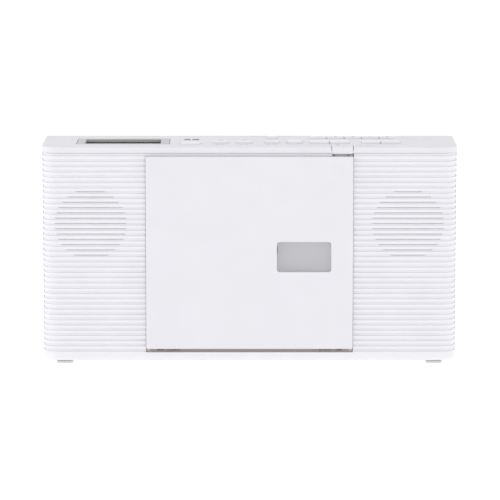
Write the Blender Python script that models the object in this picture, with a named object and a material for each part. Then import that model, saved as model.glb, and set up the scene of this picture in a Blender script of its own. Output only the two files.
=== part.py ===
"""Slim clock radio with a CD door in its front, modelled as separate pieces.

The object stands on Z = 0 with its front facing -Y. The origin is under the middle of its bounding box.
Sizes in this script are millimetres. add_piece turns them into metres when it makes an object.
Depths are measured backwards from the crests of the front ribs. The function y_at turns one into a Y.
"""

import math

import bmesh
import bpy
from mathutils import Matrix, Vector

# ---------------------------------------------------------------- driving dimensions, in millimetres
MILLIMETRE = 0.001
GAP = 0.3  # between pieces that touch

WIDTH = 300.0
CABINET_DEPTH = 74.0  # rib crests to the rear face
CABINET_BOTTOM = 2.0
CABINET_TOP = 158.9
WALL = 2.2
FRONT_CORNER = 11.0  # radius of the upright front edges
REAR_CORNER = 9.0
BOTTOM_FILLET = 3.5
PARTING_DEPTH = 14.0  # where the front and rear cabinets meet

RIB_PITCH = 3.864
GROOVE_COUNT = 37
GROOVE_HEIGHT = 1.9
GROOVE_DEPTH = 0.9
TOP_GROOVE_CENTRE = 149.2
WIDE_GROOVE_BOTTOM = 152.3
FASCIA_BOTTOM = 154.5
PLATE_BOTTOM = 156.9  # underside of the top panel's plate
PANEL_DEPTH = 66.0  # the top panel ends here, in front of the antenna's rebate
FRONT_INNER = 4.2  # depth of the front wall's inner face

SPEAKER_X = 114.6
SPEAKER_Z = 102.3
SPEAKER_DEPTH = 8.0  # of the drivers' rims
GRILLE_RADIUS = 25.8
GRILLE_FIRST, GRILLE_LAST = 6, 18  # the grooves that hold the slits
SLIT_HEIGHT = 0.85
GRILLE_BOSS_RADIUS = 27.0  # the wall is thicker here, behind the slits
GRILLE_BOSS_DEPTH = 7.2

DOOR_PROUD = 2.0  # how far the door stands in front of the rib crests
DOOR_THICKNESS = 2.5
DOOR_HALF = 74.85
DOOR_BOTTOM, DOOR_TOP = 11.4, 152.1
REBATE_HALF = 75.15
REBATE_DEPTH = 1.2
SHELF_TOP = 8.5
OPENING_HALF = 72.5
OPENING_TOP = 150.5
OPENING_FOOT = 17.8  # up to here the opening is as wide as the rebate
LATCH_NOTCH_BOTTOM = 147.0
WINDOW_X = (19.9, 59.1)
WINDOW_Z = (68.0, 89.9)
PIVOT_DEPTH, PIVOT_Z = 10.0, 6.3
PIN_RADIUS = 1.0
ARM_X = (51.3, 59.4)
ARM_SLOT_X = (50.9, 59.8)
SPRING_SLOT_X = (62.8, 67.5)
SLOT_DEPTHS = (6.9, 13.6)
SHELF_HALF, SHELF_DEPTHS, SHELF_BOTTOM = 78.0, (3.0, 16.0), 6.5
PIN_BOSS_X = ((48.1, 50.6), (60.1, 62.3))
PIN_BOSS_DEPTHS, PIN_BOSS_Z = (7.6, 12.4), (4.1, 7.0)
ARM_HEEL_Z = (17.5, 21.0)
HOOK_X, HOOK_Z = (62.2, 69.8), (148.6, 150.1)
HOOK_DEPTH = 9.0
PIN_X = (48.4, 67.2)

DISC_X, DISC_Z = 10.2, 81.5  # the spindle's axis
DISH_RADIUS = 61.8
TURNTABLE_RADIUS = 10.6
HUB_HOLE_RADIUS = 5.0
LENS_OFFSET = 22.5  # from the spindle leftwards to the lens, with the pickup at its inner stop
LENS_RADIUS = 4.0
PICKUP_TRAVEL = 35.0
PICKUP_SLOT_HALF = 10.0  # half the height of the slot for the lens
PICKUP_SLOT_MARGIN = 2.0
WELL_FLOOR = 16.3
MECHANISM_DEPTH = 19.0
GUIDE_ROD_DEPTH, GUIDE_ROD_DROP = 23.0, 14.0
GEAR_OFFSET = (-40.0, 27.3)  # from the spindle, across and up
GEAR_RADIUS = 6.0
GEAR_TEETH = 16

KEY_RISE = 1.0
KEY_CORNER = 1.6
KEY_FLANGE = (155.6, 156.6)
FLANGE_REACH = 0.9
PRESET_NAMES = tuple(f"preset_key_{number}" for number in range(1, 6))
# The names of a row, then the x of its first key, its pitch, its depth,
# and each key's width and length.
KEY_ROWS = (
    (("timer_key",), -21.0, 0.0, 25.0, 11.3, 8.0),
    (("sleep_key",), -3.6, 0.0, 25.0, 11.3, 8.0),
    (("display_key",), 16.5, 0.0, 51.0, 8.2, 7.5),
    (("memory_key",), 16.3, 0.0, 25.0, 10.7, 8.0),
    (("skip_back_key", "skip_forward_key"), 51.0, 14.5, 25.5, 14.1, 12.0),
    (("volume_down_key", "volume_up_key"), 88.2, 14.2, 25.5, 13.8, 12.0),
    (PRESET_NAMES, 50.4, 12.7, 51.0, 12.3, 8.0),
)
POWER_KEY = (-42.6, 20.5, 15.3)  # x, depth, diameter
MODE_KEY = (32.9, 25.0, 11.0, 15.0)
DOME_RISE = 1.7

LCD_BEZEL = (-125.2, -58.2, 16.0, 48.0)  # x range, depth range
LCD_OPENING = (-119.4, -64.5, 20.0, 44.0)
LCD_RECESS = 1.4
OPEN_KEY_X = (59.4, 74.6)
OPEN_KEY_DEPTH = 11.0
OPEN_KEY_BOTTOM = 153.9
OPEN_KEY_LIP, OPEN_KEY_THICKNESS = 2.0, 3.0
LEG_X, LEG_BOTTOM = ((59.8, 61.6), (70.4, 72.2)), 145.2  # the frame that lifts the door's hook
OPEN_KEY_GAP = 0.4

ANTENNA_X, ANTENNA_DEPTH, ANTENNA_Z = 130.0, 70.0, 150.0
REBATE_FLOOR = 145.5
TUBE_RADII = ((2.7, 2.2), (1.9, 1.4), (1.1, 0.0))  # outer and inner radius of each tube
TUBE_ENDS = ((125.0, -100.0), (121.0, -103.0), (117.0, -108.0))

BATTERY_HALF = 52.0
BATTERY_Z = (14.0, 72.0)
TRAY_DEPTH = 44.0
INLET_X, JACK_X, SOCKET_Z = 112.0, (-106.0, -122.0), 24.0
SCREW_X, SCREW_Z = 135.0, (13.0, 136.0)
SCREW_SINK = 3.0  # depth of the recess round each screw head
VENT_ROWS, VENT_PITCH, VENT_FIRST_Z, VENT_HEIGHT, VENT_HALF = 6, 6.0, 86.0, 2.0, 20.0
FOOT_X = (128.4, 140.1)
FRONT_FOOT_DEPTHS = (3.0, 13.5)
REAR_FOOT_DEPTHS = (58.0, 69.0)

FRONT = DOOR_PROUD - (CABINET_DEPTH + DOOR_PROUD) / 2


def y_at(depth):
    return FRONT + depth


# ---------------------------------------------------------------- materials
def material(name, colour, roughness, metallic=0.0):
    made = bpy.data.materials.new(name)
    made.use_nodes = True
    shader = made.node_tree.nodes["Principled BSDF"]
    shader.inputs["Base Color"].default_value = (*colour, 1.0)
    shader.inputs["Roughness"].default_value = roughness
    shader.inputs["Metallic"].default_value = metallic
    made.diffuse_color = (*colour, 1.0)
    return made


def make_materials():
    return {
        "white": material("white_plastic", (0.80, 0.79, 0.80), 0.45),
        "grey": material("grey_plastic", (0.58, 0.58, 0.60), 0.45),
        "black": material("black_plastic", (0.02, 0.02, 0.02), 0.5),
        "clear": material("clear_plastic", (0.70, 0.70, 0.70), 0.08),
        "lcd": material("lcd_glass", (0.08, 0.07, 0.06), 0.2),
        "rubber": material("grey_rubber", (0.55, 0.55, 0.55), 0.8),
        "steel": material("bright_steel", (0.62, 0.62, 0.62), 0.3, 1.0),
        "zinc": material("zinc_plated_steel", (0.50, 0.51, 0.52), 0.42, 1.0),
        "paper": material("speaker_paper", (0.05, 0.05, 0.05), 0.9),
        "board": material("circuit_board", (0.03, 0.16, 0.08), 0.5),
    }


# ---------------------------------------------------------------- shapes, in millimetres
def block(x, depth, z):
    """A box between two x values, two depths and two heights."""
    shape = bmesh.new()
    bmesh.ops.create_cube(shape, size=1.0)
    size = Vector((x[1] - x[0], depth[1] - depth[0], z[1] - z[0]))
    centre = Vector((sum(x) / 2, y_at(sum(depth) / 2), sum(z) / 2))
    for vertex in shape.verts:
        vertex.co = Vector(a * b for a, b in zip(vertex.co, size)) + centre
    return shape


def mirrored_x(x):
    return (-x[1], -x[0])


def joined(shapes):
    """One mesh that holds every shape of the list, still as separate bodies."""
    whole = bmesh.new()
    for shape in shapes:
        shape.verts.index_update()
        vertices = [whole.verts.new(vertex.co) for vertex in shape.verts]
        for face in shape.faces:
            whole.faces.new([vertices[vertex.index] for vertex in face.verts])
        shape.free()
    return whole


def arc(centre, radius, start, end, steps):
    """Points on an arc between two angles in degrees, both ends included."""
    angles = [math.radians(start + (end - start) * i / steps) for i in range(steps + 1)]
    return [(centre[0] + radius * math.cos(a), centre[1] + radius * math.sin(a)) for a in angles]


def rounded_rectangle(x, depth, radius, steps=2, rear_radius=None):
    """The plan outline of a plate. Its rear corners may have a radius of their own."""
    rear = radius if rear_radius is None else rear_radius
    (left, right), (near, far) = x, (y_at(depth[0]), y_at(depth[1]))
    points = (
        arc((left + radius, near + radius), radius, 180, 270, steps)
        + arc((right - radius, near + radius), radius, 270, 360, steps)
        + arc((right - rear, far - rear), rear, 0, 90, steps)
        + arc((left + rear, far - rear), rear, 90, 180, steps)
    )
    # Where two corners meet in one point, it is kept once.
    return [point for i, point in enumerate(points) if math.dist(point, points[i - 1]) > 0.001]


def loft(rings):
    """A closed body through rings that have the same number of points, flat at both ends."""
    shape = bmesh.new()
    loops = [[shape.verts.new(point) for point in ring] for ring in rings]
    for lower, upper in zip(loops, loops[1:]):
        for i in range(len(lower)):
            j = (i + 1) % len(lower)
            shape.faces.new((lower[i], lower[j], upper[j], upper[i]))
    shape.faces.new(loops[0][::-1])
    shape.faces.new(loops[-1])
    return shape


def prism(outline, bottom, top):
    return loft([[(x, y, z) for x, y in outline] for z in (bottom, top)])


def side_prism(outline, x):
    """A prism along X whose outline is given as depths and heights."""
    return loft([[(x_end, y_at(depth), z) for depth, z in outline] for x_end in x])


def turned(profile, segments=24):
    """A body turned about +Z through the origin. The profile lists radius and height.

    A profile that never touches the axis is closed on itself into a ring."""
    shape = bmesh.new()
    rows = []
    for radius, height in profile:
        count = 1 if radius == 0 else segments
        turns = [2 * math.pi * i / segments for i in range(count)]
        row = [shape.verts.new((radius * math.cos(t), radius * math.sin(t), height)) for t in turns]
        rows.append(row * segments if radius == 0 else row)
    closes = all(radius > 0 for radius, _ in profile)
    pairs = list(zip(rows, rows[1:])) + ([(rows[-1], rows[0])] if closes else [])
    for first, second in pairs:
        for i in range(segments):
            j = (i + 1) % segments
            corners = list(dict.fromkeys((first[i], first[j], second[j], second[i])))
            if len(corners) > 2:
                shape.faces.new(corners)
    return shape


def laid_back(shape, x, z):
    """Turns a body about the axis at x and z, so that its heights run backwards as depths."""
    turn = Matrix.Rotation(math.radians(-90), 4, "X")
    shape.transform(Matrix.Translation((x, FRONT, z)) @ turn)
    return shape


def laid_left(shape, depth, z):
    """Turns a body about the axis at depth and z, so that its heights run to the left as -X."""
    turn = Matrix.Rotation(math.radians(-90), 4, "Y")
    shape.transform(Matrix.Translation((0.0, y_at(depth), z)) @ turn)
    return shape


def rod(radius, start, end, segments=16):
    return turned([(0, start), (radius, start), (radius, end), (0, end)], segments)


def rod_back(radius, x, z, depths, segments=16):
    return laid_back(rod(radius, *depths, segments), x, z)


def rod_across(radius, depth, z, x, segments=16):
    return laid_left(rod(radius, -x[1], -x[0], segments), depth, z)


# ---------------------------------------------------------------- objects
def make_mesh(name, shape, origin):
    shape.transform(Matrix.Translation(-Vector(origin)))
    shape.transform(Matrix.Scale(MILLIMETRE, 4))
    bmesh.ops.recalc_face_normals(shape, faces=shape.faces)
    mesh = bpy.data.meshes.new(name)
    shape.to_mesh(mesh)
    shape.free()
    return mesh


def add_piece(name, shape, surface, origin=(0.0, 0.0, 0.0), parent=None):
    """Makes the piece's object with its origin at the given point, under the parent if there is one."""
    mesh = make_mesh(name, shape, origin)
    mesh.materials.append(surface)
    mesh.shade_smooth()
    mesh.set_sharp_from_angle(angle=math.radians(35))
    piece = bpy.data.objects.new(name, mesh)
    piece.location = Vector(origin) * MILLIMETRE
    if parent:
        piece.location -= parent.location
        piece.parent = parent
    bpy.context.collection.objects.link(piece)
    return piece


def add_empty(name, origin):
    empty = bpy.data.objects.new(name, None)
    empty.empty_display_size = 0.01
    empty.location = Vector(origin) * MILLIMETRE
    bpy.context.collection.objects.link(empty)
    return empty


def boolean(piece, shape, operation):
    """Adds or removes a shape with a Boolean modifier. The operand stays as a hidden wire."""
    count = len(piece.modifiers) + 1
    name = f"{piece.name}_{operation.lower()}_{count}"
    mesh = make_mesh(name, shape, (0.0, 0.0, 0.0))
    operand = bpy.data.objects.new(name, mesh)
    operand.hide_render = True
    operand.display_type = "WIRE"
    bpy.context.collection.objects.link(operand)
    modifier = piece.modifiers.new(operation.title(), "BOOLEAN")
    modifier.operation = operation
    modifier.solver = "EXACT"
    modifier.object = operand


def cut(piece, shape):
    boolean(piece, shape, "DIFFERENCE")


def fuse(piece, shape):
    boolean(piece, shape, "UNION")


# ---------------------------------------------------------------- cabinet
def half_outline(inset, rim, face, radius, side):
    """Half of the cabinet's plan, from its rim round both corners.

    Side is -1 for the front half and 1 for the rear half."""
    half = WIDTH / 2
    reach = radius - inset
    centre_y = y_at(face) - side * radius
    right = arc((half - radius, centre_y), reach, 0, 90 * side, 4)
    left = [(-x, y) for x, y in reversed(right)]
    return [(half - inset, y_at(rim))] + right + left + [(-half + inset, y_at(rim))]


def half_shell(rim, face, radius, side, levels, wall):
    """A cabinet half: an open box with a floor, its outside following the levels (height, inset)."""
    shape = bmesh.new()

    def ring(height, inset):
        points = half_outline(inset, rim, face, radius, side)
        return [shape.verts.new((x, y, height)) for x, y in points]

    outer = [ring(height, inset) for height, inset in levels]
    inner = [ring(height, wall) for height in (CABINET_BOTTOM + WALL - 0.4, levels[-1][0])]
    for rows in (outer, inner):
        for lower, upper in zip(rows, rows[1:]):
            for i in range(len(lower) - 1):
                shape.faces.new((lower[i], lower[i + 1], upper[i + 1], upper[i]))
    shape.faces.new(outer[0])
    shape.faces.new(inner[0])
    shape.faces.new(outer[-1] + inner[-1][::-1])
    right_edge = [row[0] for row in outer]
    left_edge = [row[-1] for row in outer]
    inner_edge = [inner[1][-1], inner[0][-1], inner[0][0], inner[1][0]]
    shape.faces.new(right_edge[::-1] + left_edge + inner_edge)
    return shape


def fillet_levels():
    """Heights and insets of the rounded bottom edge."""
    levels = []
    for angle in (0, 30, 60, 90):
        turn = math.radians(angle)
        height = CABINET_BOTTOM + BOTTOM_FILLET * (1 - math.cos(turn))
        levels.append((height, BOTTOM_FILLET * (1 - math.sin(turn))))
    return levels


def groove_centre(index):
    return TOP_GROOVE_CENTRE - RIB_PITCH * index


def rib_levels():
    """Heights and insets of the ribbed front, up to the wide groove under the fascia."""
    levels = fillet_levels()
    for index in reversed(range(GROOVE_COUNT)):
        low = groove_centre(index) - GROOVE_HEIGHT / 2
        high = low + GROOVE_HEIGHT
        levels += [(low, 0.0), (low, GROOVE_DEPTH), (high, GROOVE_DEPTH), (high, 0.0)]
    levels += [(WIDE_GROOVE_BOTTOM, 0.0), (WIDE_GROOVE_BOTTOM, GROOVE_DEPTH)]
    levels.append((FASCIA_BOTTOM - GAP, GROOVE_DEPTH))
    return levels


def grille_slits(side):
    """The slits of one grille: one in each groove that crosses the grille's circle."""
    slits = []
    for index in range(GRILLE_FIRST, GRILLE_LAST + 1):
        z = groove_centre(index)
        reach = math.sqrt(GRILLE_RADIUS**2 - (z - SPEAKER_Z) ** 2)
        x = (side * SPEAKER_X - reach, side * SPEAKER_X + reach)
        slits.append(block(x, (GROOVE_DEPTH - 0.2, GRILLE_BOSS_DEPTH + 1.0), (z, z + SLIT_HEIGHT)))
    return slits


def make_front_cabinet(surfaces):
    shape = half_shell(PARTING_DEPTH, 0.0, FRONT_CORNER, -1, rib_levels(), FRONT_INNER)
    cabinet = add_piece("front_cabinet", shape, surfaces["white"])
    fuse(cabinet, block((-SHELF_HALF, SHELF_HALF), SHELF_DEPTHS, (SHELF_BOTTOM, SHELF_TOP - 0.1)))
    bosses = []
    for x in PIN_BOSS_X:
        for span in (x, mirrored_x(x)):
            bosses.append(block(span, PIN_BOSS_DEPTHS, PIN_BOSS_Z))
    fuse(cabinet, joined(bosses))
    boss_depths = (FRONT_INNER - 0.2, GRILLE_BOSS_DEPTH)
    places = (-SPEAKER_X, SPEAKER_X)
    grilles = [rod_back(GRILLE_BOSS_RADIUS, x, SPEAKER_Z, boss_depths, 48) for x in places]
    fuse(cabinet, joined(grilles))
    rebate = block((-REBATE_HALF, REBATE_HALF), (-5.0, REBATE_DEPTH), (SHELF_TOP, 160.0))
    cut(cabinet, rebate)
    through_wall = (-4.0, 9.0)
    cut(cabinet, block((-OPENING_HALF, OPENING_HALF), through_wall, (SHELF_TOP, OPENING_TOP)))
    cut(cabinet, block((-REBATE_HALF, REBATE_HALF), through_wall, (SHELF_TOP, OPENING_FOOT)))
    cut(cabinet, block((OPEN_KEY_X[0], REBATE_HALF), through_wall, (LATCH_NOTCH_BOTTOM, 160.0)))
    slots = []
    for x in (ARM_SLOT_X, SPRING_SLOT_X):
        for span in (x, mirrored_x(x)):
            slots.append(block(span, SLOT_DEPTHS, (5.5, 10.0)))
    cut(cabinet, joined(slots))
    bore = (PIN_X[0] - GAP, PIN_X[1] + GAP)
    bores = []
    for x in (bore, mirrored_x(bore)):
        bores.append(rod_across(PIN_RADIUS + GAP, PIVOT_DEPTH, PIVOT_Z, x, 12))
    cut(cabinet, joined(bores))
    cut(cabinet, joined(grille_slits(-1) + grille_slits(1)))


def screw_places():
    return [(x, z) for z in SCREW_Z for x in (-SCREW_X, SCREW_X)]


def vent_slots():
    slots = []
    for side in (-1, 1):
        x = (side * SPEAKER_X - VENT_HALF, side * SPEAKER_X + VENT_HALF)
        for row in range(VENT_ROWS):
            z = VENT_FIRST_Z + VENT_PITCH * row
            slots.append(block(x, (CABINET_DEPTH - 4.0, CABINET_DEPTH + 1.0), (z, z + VENT_HEIGHT)))
    return slots


def make_rear_cabinet(surfaces):
    levels = fillet_levels() + [(FASCIA_BOTTOM - GAP, 0.0)]
    shape = half_shell(PARTING_DEPTH + GAP, CABINET_DEPTH, REAR_CORNER, 1, levels, WALL)
    cabinet = add_piece("rear_cabinet", shape, surfaces["white"])
    wall_depth = PANEL_DEPTH - WALL
    ledge = half_outline(1.0, wall_depth, CABINET_DEPTH, REAR_CORNER, 1)
    fuse(cabinet, prism(ledge, REBATE_FLOOR - WALL, FASCIA_BOTTOM - 0.5))
    bosses = [rod_back(5.0, x, z, (60.0, CABINET_DEPTH - 1.0), 12) for x, z in screw_places()]
    fuse(cabinet, joined(bosses))
    cut(cabinet, block((-160.0, 160.0), (PANEL_DEPTH, 80.0), (REBATE_FLOOR, 160.0)))
    holes = [rod_back(1.8, x, z, (59.0, CABINET_DEPTH + 1.0), 10) for x, z in screw_places()]
    head_depths = (CABINET_DEPTH - SCREW_SINK, CABINET_DEPTH + 1.0)
    heads = [rod_back(3.8, x, z, head_depths, 12) for x, z in screw_places()]
    cut(cabinet, joined(holes))
    cut(cabinet, joined(heads))
    through = (CABINET_DEPTH - 4.0, CABINET_DEPTH + 1.0)
    cut(cabinet, block((-BATTERY_HALF + 2.0, BATTERY_HALF - 2.0), through, (16.0, 70.0)))
    cut(cabinet, block((INLET_X - 10.5, INLET_X + 10.5), through, (SOCKET_Z - 7.0, SOCKET_Z + 7.0)))
    cut(cabinet, joined([rod_back(4.3, x, SOCKET_Z, through) for x in JACK_X]))
    cut(cabinet, joined(vent_slots()))


def row_hole(row):
    """The opening in the top panel that a row of keys shares."""
    names, first_x, pitch, depth, width, length = row
    last_x = first_x + pitch * (len(names) - 1)
    x = (first_x - width / 2 - GAP, last_x + width / 2 + GAP)
    depths = (depth - length / 2 - GAP, depth + length / 2 + GAP)
    return prism(rounded_rectangle(x, depths, KEY_CORNER + GAP), 155.0, 160.0)


def make_top_panel(surfaces):
    half = WIDTH / 2
    rings = []
    for z, inset in ((FASCIA_BOTTOM, 0.0), (CABINET_TOP - 0.5, 0.0), (CABINET_TOP, 0.5)):
        span = (-half + inset, half - inset)
        outline = rounded_rectangle(
            span, (inset, PANEL_DEPTH - inset), FRONT_CORNER - inset, 4, 3.0 - inset
        )
        rings.append([(x, y, z) for x, y in outline])
    panel = add_piece("top_panel", loft(rings), surfaces["white"])
    inside = rounded_rectangle(
        (-half + WALL, half - WALL), (WALL, PANEL_DEPTH - WALL), FRONT_CORNER - WALL, 4, 1.0
    )
    cut(panel, prism(inside, 150.0, PLATE_BOTTOM))
    holes = [row_hole(row) for row in KEY_ROWS]
    x, depth, width, length = MODE_KEY
    oval = rounded_rectangle(
        (x - width / 2 - GAP, x + width / 2 + GAP),
        (depth - length / 2 - GAP, depth + length / 2 + GAP),
        width / 2 + GAP,
        4,
    )
    holes.append(prism(oval, 155.0, 160.0))
    left, right, near, far = LCD_BEZEL
    holes.append(block((left - GAP, right + GAP), (near - GAP, far + GAP), (155.0, 160.0)))
    cut(panel, joined(holes))
    x, depth, diameter = POWER_KEY
    round_hole = rod(diameter / 2 + GAP, 155.0, 160.0, 24)
    round_hole.transform(Matrix.Translation((x, y_at(depth), 0.0)))
    cut(panel, round_hole)
    notch = (OPEN_KEY_X[0] - OPEN_KEY_GAP, OPEN_KEY_X[1] + OPEN_KEY_GAP)
    cut(panel, block(notch, (-2.0, OPEN_KEY_DEPTH + OPEN_KEY_GAP), (150.0, 160.0)))


def make_feet(surfaces):
    for place, depths in (("front", FRONT_FOOT_DEPTHS), ("rear", REAR_FOOT_DEPTHS)):
        for side, x in (("left", mirrored_x(FOOT_X)), ("right", FOOT_X)):
            outline = rounded_rectangle(x, depths, 1.5)
            foot = prism(outline, 0.0, CABINET_BOTTOM - GAP)
            add_piece(f"foot_{place}_{side}", foot, surfaces["rubber"])


def make_screws(surfaces):
    back = CABINET_DEPTH - SCREW_SINK + GAP
    profile = [(0, 62.0), (1.4, 62.0), (1.4, back), (3.2, back), (3.2, back + 1.2)]
    profile += [(2.2, back + 2.0), (0, back + 2.0)]
    for number, (x, z) in enumerate(screw_places(), 1):
        add_piece(f"cabinet_screw_{number}", laid_back(turned(profile, 12), x, z), surfaces["zinc"])


# ---------------------------------------------------------------- keys and display
def make_key(name, outline_at, rise, surface, x, depth):
    """A key that stands through the top panel, with a flange that keeps it in."""
    top = CABINET_TOP + rise
    flange_low, flange_high = KEY_FLANGE
    levels = [(flange_low, FLANGE_REACH), (flange_high, FLANGE_REACH), (flange_high, 0.0)]
    levels += [(top - 0.4, 0.0), (top, -0.5)]
    rings = [[(px, py, z) for px, py in outline_at(grow)] for z, grow in levels]
    add_piece(name, loft(rings), surface, (x, y_at(depth), CABINET_TOP))


def make_keys(surfaces):
    for names, first_x, pitch, depth, width, length in KEY_ROWS:
        for number, name in enumerate(names):
            x = first_x + pitch * number

            def outline_at(grow, x=x, depth=depth, width=width, length=length):
                # The flange stands out at the front and the rear only, clear of the next key.
                sides = min(grow, 0.0)
                half, reach = width / 2 + sides, length / 2 + grow
                depths = (depth - reach, depth + reach)
                return rounded_rectangle((x - half, x + half), depths, KEY_CORNER + sides)

            make_key(name, outline_at, KEY_RISE, surfaces["white"], x, depth)

    x, depth, width, length = MODE_KEY

    def oval_at(grow):
        half, reach = width / 2 + grow, length / 2 + grow
        return rounded_rectangle((x - half, x + half), (depth - reach, depth + reach), half, 4)

    make_key("mode_key", oval_at, DOME_RISE, surfaces["white"], x, depth)

    power_x, power_depth, diameter = POWER_KEY
    radius = diameter / 2
    low, high = KEY_FLANGE
    top = CABINET_TOP + DOME_RISE
    profile = [(0, low), (radius + FLANGE_REACH, low), (radius + FLANGE_REACH, high)]
    profile += [(radius, high), (radius, CABINET_TOP)]
    profile += [(radius - 1.0, top - 0.5), (radius - 3.0, top), (0, top)]
    dome = turned(profile)
    dome.transform(Matrix.Translation((power_x, y_at(power_depth), 0.0)))
    add_piece("power_key", dome, surfaces["white"], (power_x, y_at(power_depth), CABINET_TOP))


def make_open_key(surfaces):
    lip = OPEN_KEY_LIP
    under = CABINET_TOP - OPEN_KEY_THICKNESS
    outline = [(0.0, OPEN_KEY_BOTTOM), (lip, OPEN_KEY_BOTTOM), (lip, under), (OPEN_KEY_DEPTH, under)]
    outline += [(OPEN_KEY_DEPTH, CABINET_TOP), (0.0, CABINET_TOP)]
    press_axis = (sum(OPEN_KEY_X) / 2, y_at(OPEN_KEY_DEPTH / 2), CABINET_TOP)
    key = add_piece("open_key", side_prism(outline, OPEN_KEY_X), surfaces["white"], press_axis)
    foot = LEG_BOTTOM
    legs = [block(x, (5.0, 7.0), (foot, under + 0.5)) for x in LEG_X]
    fuse(key, joined(legs))
    fuse(key, block((LEG_X[0][0] + 0.8, LEG_X[1][1] - 0.8), (5.2, 6.8), (foot, foot + 2.0)))


def make_display(surfaces):
    left, right, near, far = LCD_BEZEL
    bezel = block((left, right), (near, far), (156.0, CABINET_TOP))
    frame = add_piece("lcd_bezel", bezel, surfaces["grey"])
    left, right, near, far = LCD_OPENING
    cut(frame, block((left, right), (near, far), (150.0, 160.0)))
    top = CABINET_TOP - LCD_RECESS
    lens = block((left + GAP, right - GAP), (near + GAP, far - GAP), (top - 1.0, top))
    add_piece("lcd_lens", lens, surfaces["clear"])
    panel = block((left - 3.0, right + 3.0), (near - 2.0, far + 2.0), (153.2, 155.6))
    add_piece("lcd_panel", panel, surfaces["lcd"])


# ---------------------------------------------------------------- door
def door_arm_outline():
    """A hinge arm in side view: forward to the door, down behind the shelf's edge, round the pin."""
    low, high = ARM_HEEL_Z
    ring = arc((PIVOT_DEPTH, PIVOT_Z), 2.0, 0, -270, 9)
    outline = [(0.0, low), (0.0, high), (13.2, high), (13.2, PIVOT_Z)]
    return outline + ring + [(10.2, 8.3), (10.2, low)]


def make_door(surfaces):
    pivot = add_empty("door_hinge_axis", (0.0, y_at(PIVOT_DEPTH), PIVOT_Z))
    inner_face = DOOR_THICKNESS - DOOR_PROUD
    panel = block((-DOOR_HALF, DOOR_HALF), (-DOOR_PROUD, inner_face), (DOOR_BOTTOM, DOOR_TOP))
    door = add_piece("cd_door", panel, surfaces["white"])
    fuse(door, joined([side_prism(door_arm_outline(), x) for x in (ARM_X, mirrored_x(ARM_X))]))
    low, high = HOOK_Z
    fuse(door, block(HOOK_X, (0.0, HOOK_DEPTH), HOOK_Z))
    fuse(door, block(HOOK_X, (HOOK_DEPTH - 1.6, HOOK_DEPTH), (low - 1.1, high - 0.9)))
    cut(door, rod_across(PIN_RADIUS + GAP, PIVOT_DEPTH, PIVOT_Z, (-63.0, 63.0), 12))
    cut(door, block(WINDOW_X, (-5.0, 5.0), WINDOW_Z))
    door.parent = pivot
    door.location = -pivot.location
    (left, right), (low, high) = WINDOW_X, WINDOW_Z
    pane = block((left - 3.0, right + 3.0), (inner_face + GAP, 2.0), (low - 3.0, high + 3.0))
    add_piece("door_window", pane, surfaces["clear"], (0.0, y_at(PIVOT_DEPTH), PIVOT_Z), pivot)
    near, far = SPRING_SLOT_X[0] + GAP, SPRING_SLOT_X[1] - GAP
    for side, sign in (("left", -1), ("right", 1)):
        pin_x = PIN_X if side == "right" else mirrored_x(PIN_X)
        pin = rod_across(PIN_RADIUS, PIVOT_DEPTH, PIVOT_Z, pin_x, 12)
        add_piece(f"hinge_pin_{side}", pin, surfaces["steel"])
        start, end = -sign * near, -sign * far
        coil = turned([(2.2, start), (2.2, end), (1.4, end), (1.4, start)], 16)
        add_piece(f"door_spring_{side}", laid_left(coil, PIVOT_DEPTH, PIVOT_Z), surfaces["steel"])


# ---------------------------------------------------------------- CD mechanism
def make_well(surfaces):
    outer = block((-74.8, 74.8), (FRONT_INNER + GAP, WELL_FLOOR + 2.0), (SHELF_TOP + GAP, 152.5))
    well = add_piece("cd_well", outer, surfaces["white"])
    cut(well, block((-OPENING_HALF, OPENING_HALF), (2.0, WELL_FLOOR), (5.0, OPENING_TOP)))
    cut(well, rod_back(DISH_RADIUS, DISC_X, DISC_Z, (12.0, WELL_FLOOR + 0.6), 48))
    through = (WELL_FLOOR - 2.0, WELL_FLOOR + 4.0)
    cut(well, rod_back(HUB_HOLE_RADIUS, DISC_X, DISC_Z, through))
    lens_x = DISC_X - LENS_OFFSET
    clearance = LENS_RADIUS + PICKUP_SLOT_MARGIN
    slot_x = (lens_x - PICKUP_TRAVEL - clearance, lens_x + clearance)
    slot_z = (DISC_Z - PICKUP_SLOT_HALF, DISC_Z + PICKUP_SLOT_HALF)
    cut(well, block(slot_x, through, slot_z))
    cut(well, block((LEG_X[0][0] - 0.6, LEG_X[1][1] + 0.2), (2.0, 8.0), (149.0, 156.0)))


def make_turntable(surfaces):
    radius = TURNTABLE_RADIUS
    profile = [(0, 9.6), (4.0, 9.6), (7.4, 11.0), (7.4, 12.5), (radius, 12.5), (radius, 14.2)]
    profile += [(3.0, 14.2), (3.0, 16.0), (1.0, 16.0), (1.0, 27.0), (0, 27.0)]
    hub = laid_back(turned(profile), DISC_X, DISC_Z)
    add_piece("turntable", hub, surfaces["black"], (DISC_X, y_at(12.5), DISC_Z))
    motor = [(1.4, 20.8), (12.0, 20.8), (12.0, 30.0), (1.4, 30.0)]
    add_piece("spindle_motor", laid_back(turned(motor), DISC_X, DISC_Z), surfaces["steel"])


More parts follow.
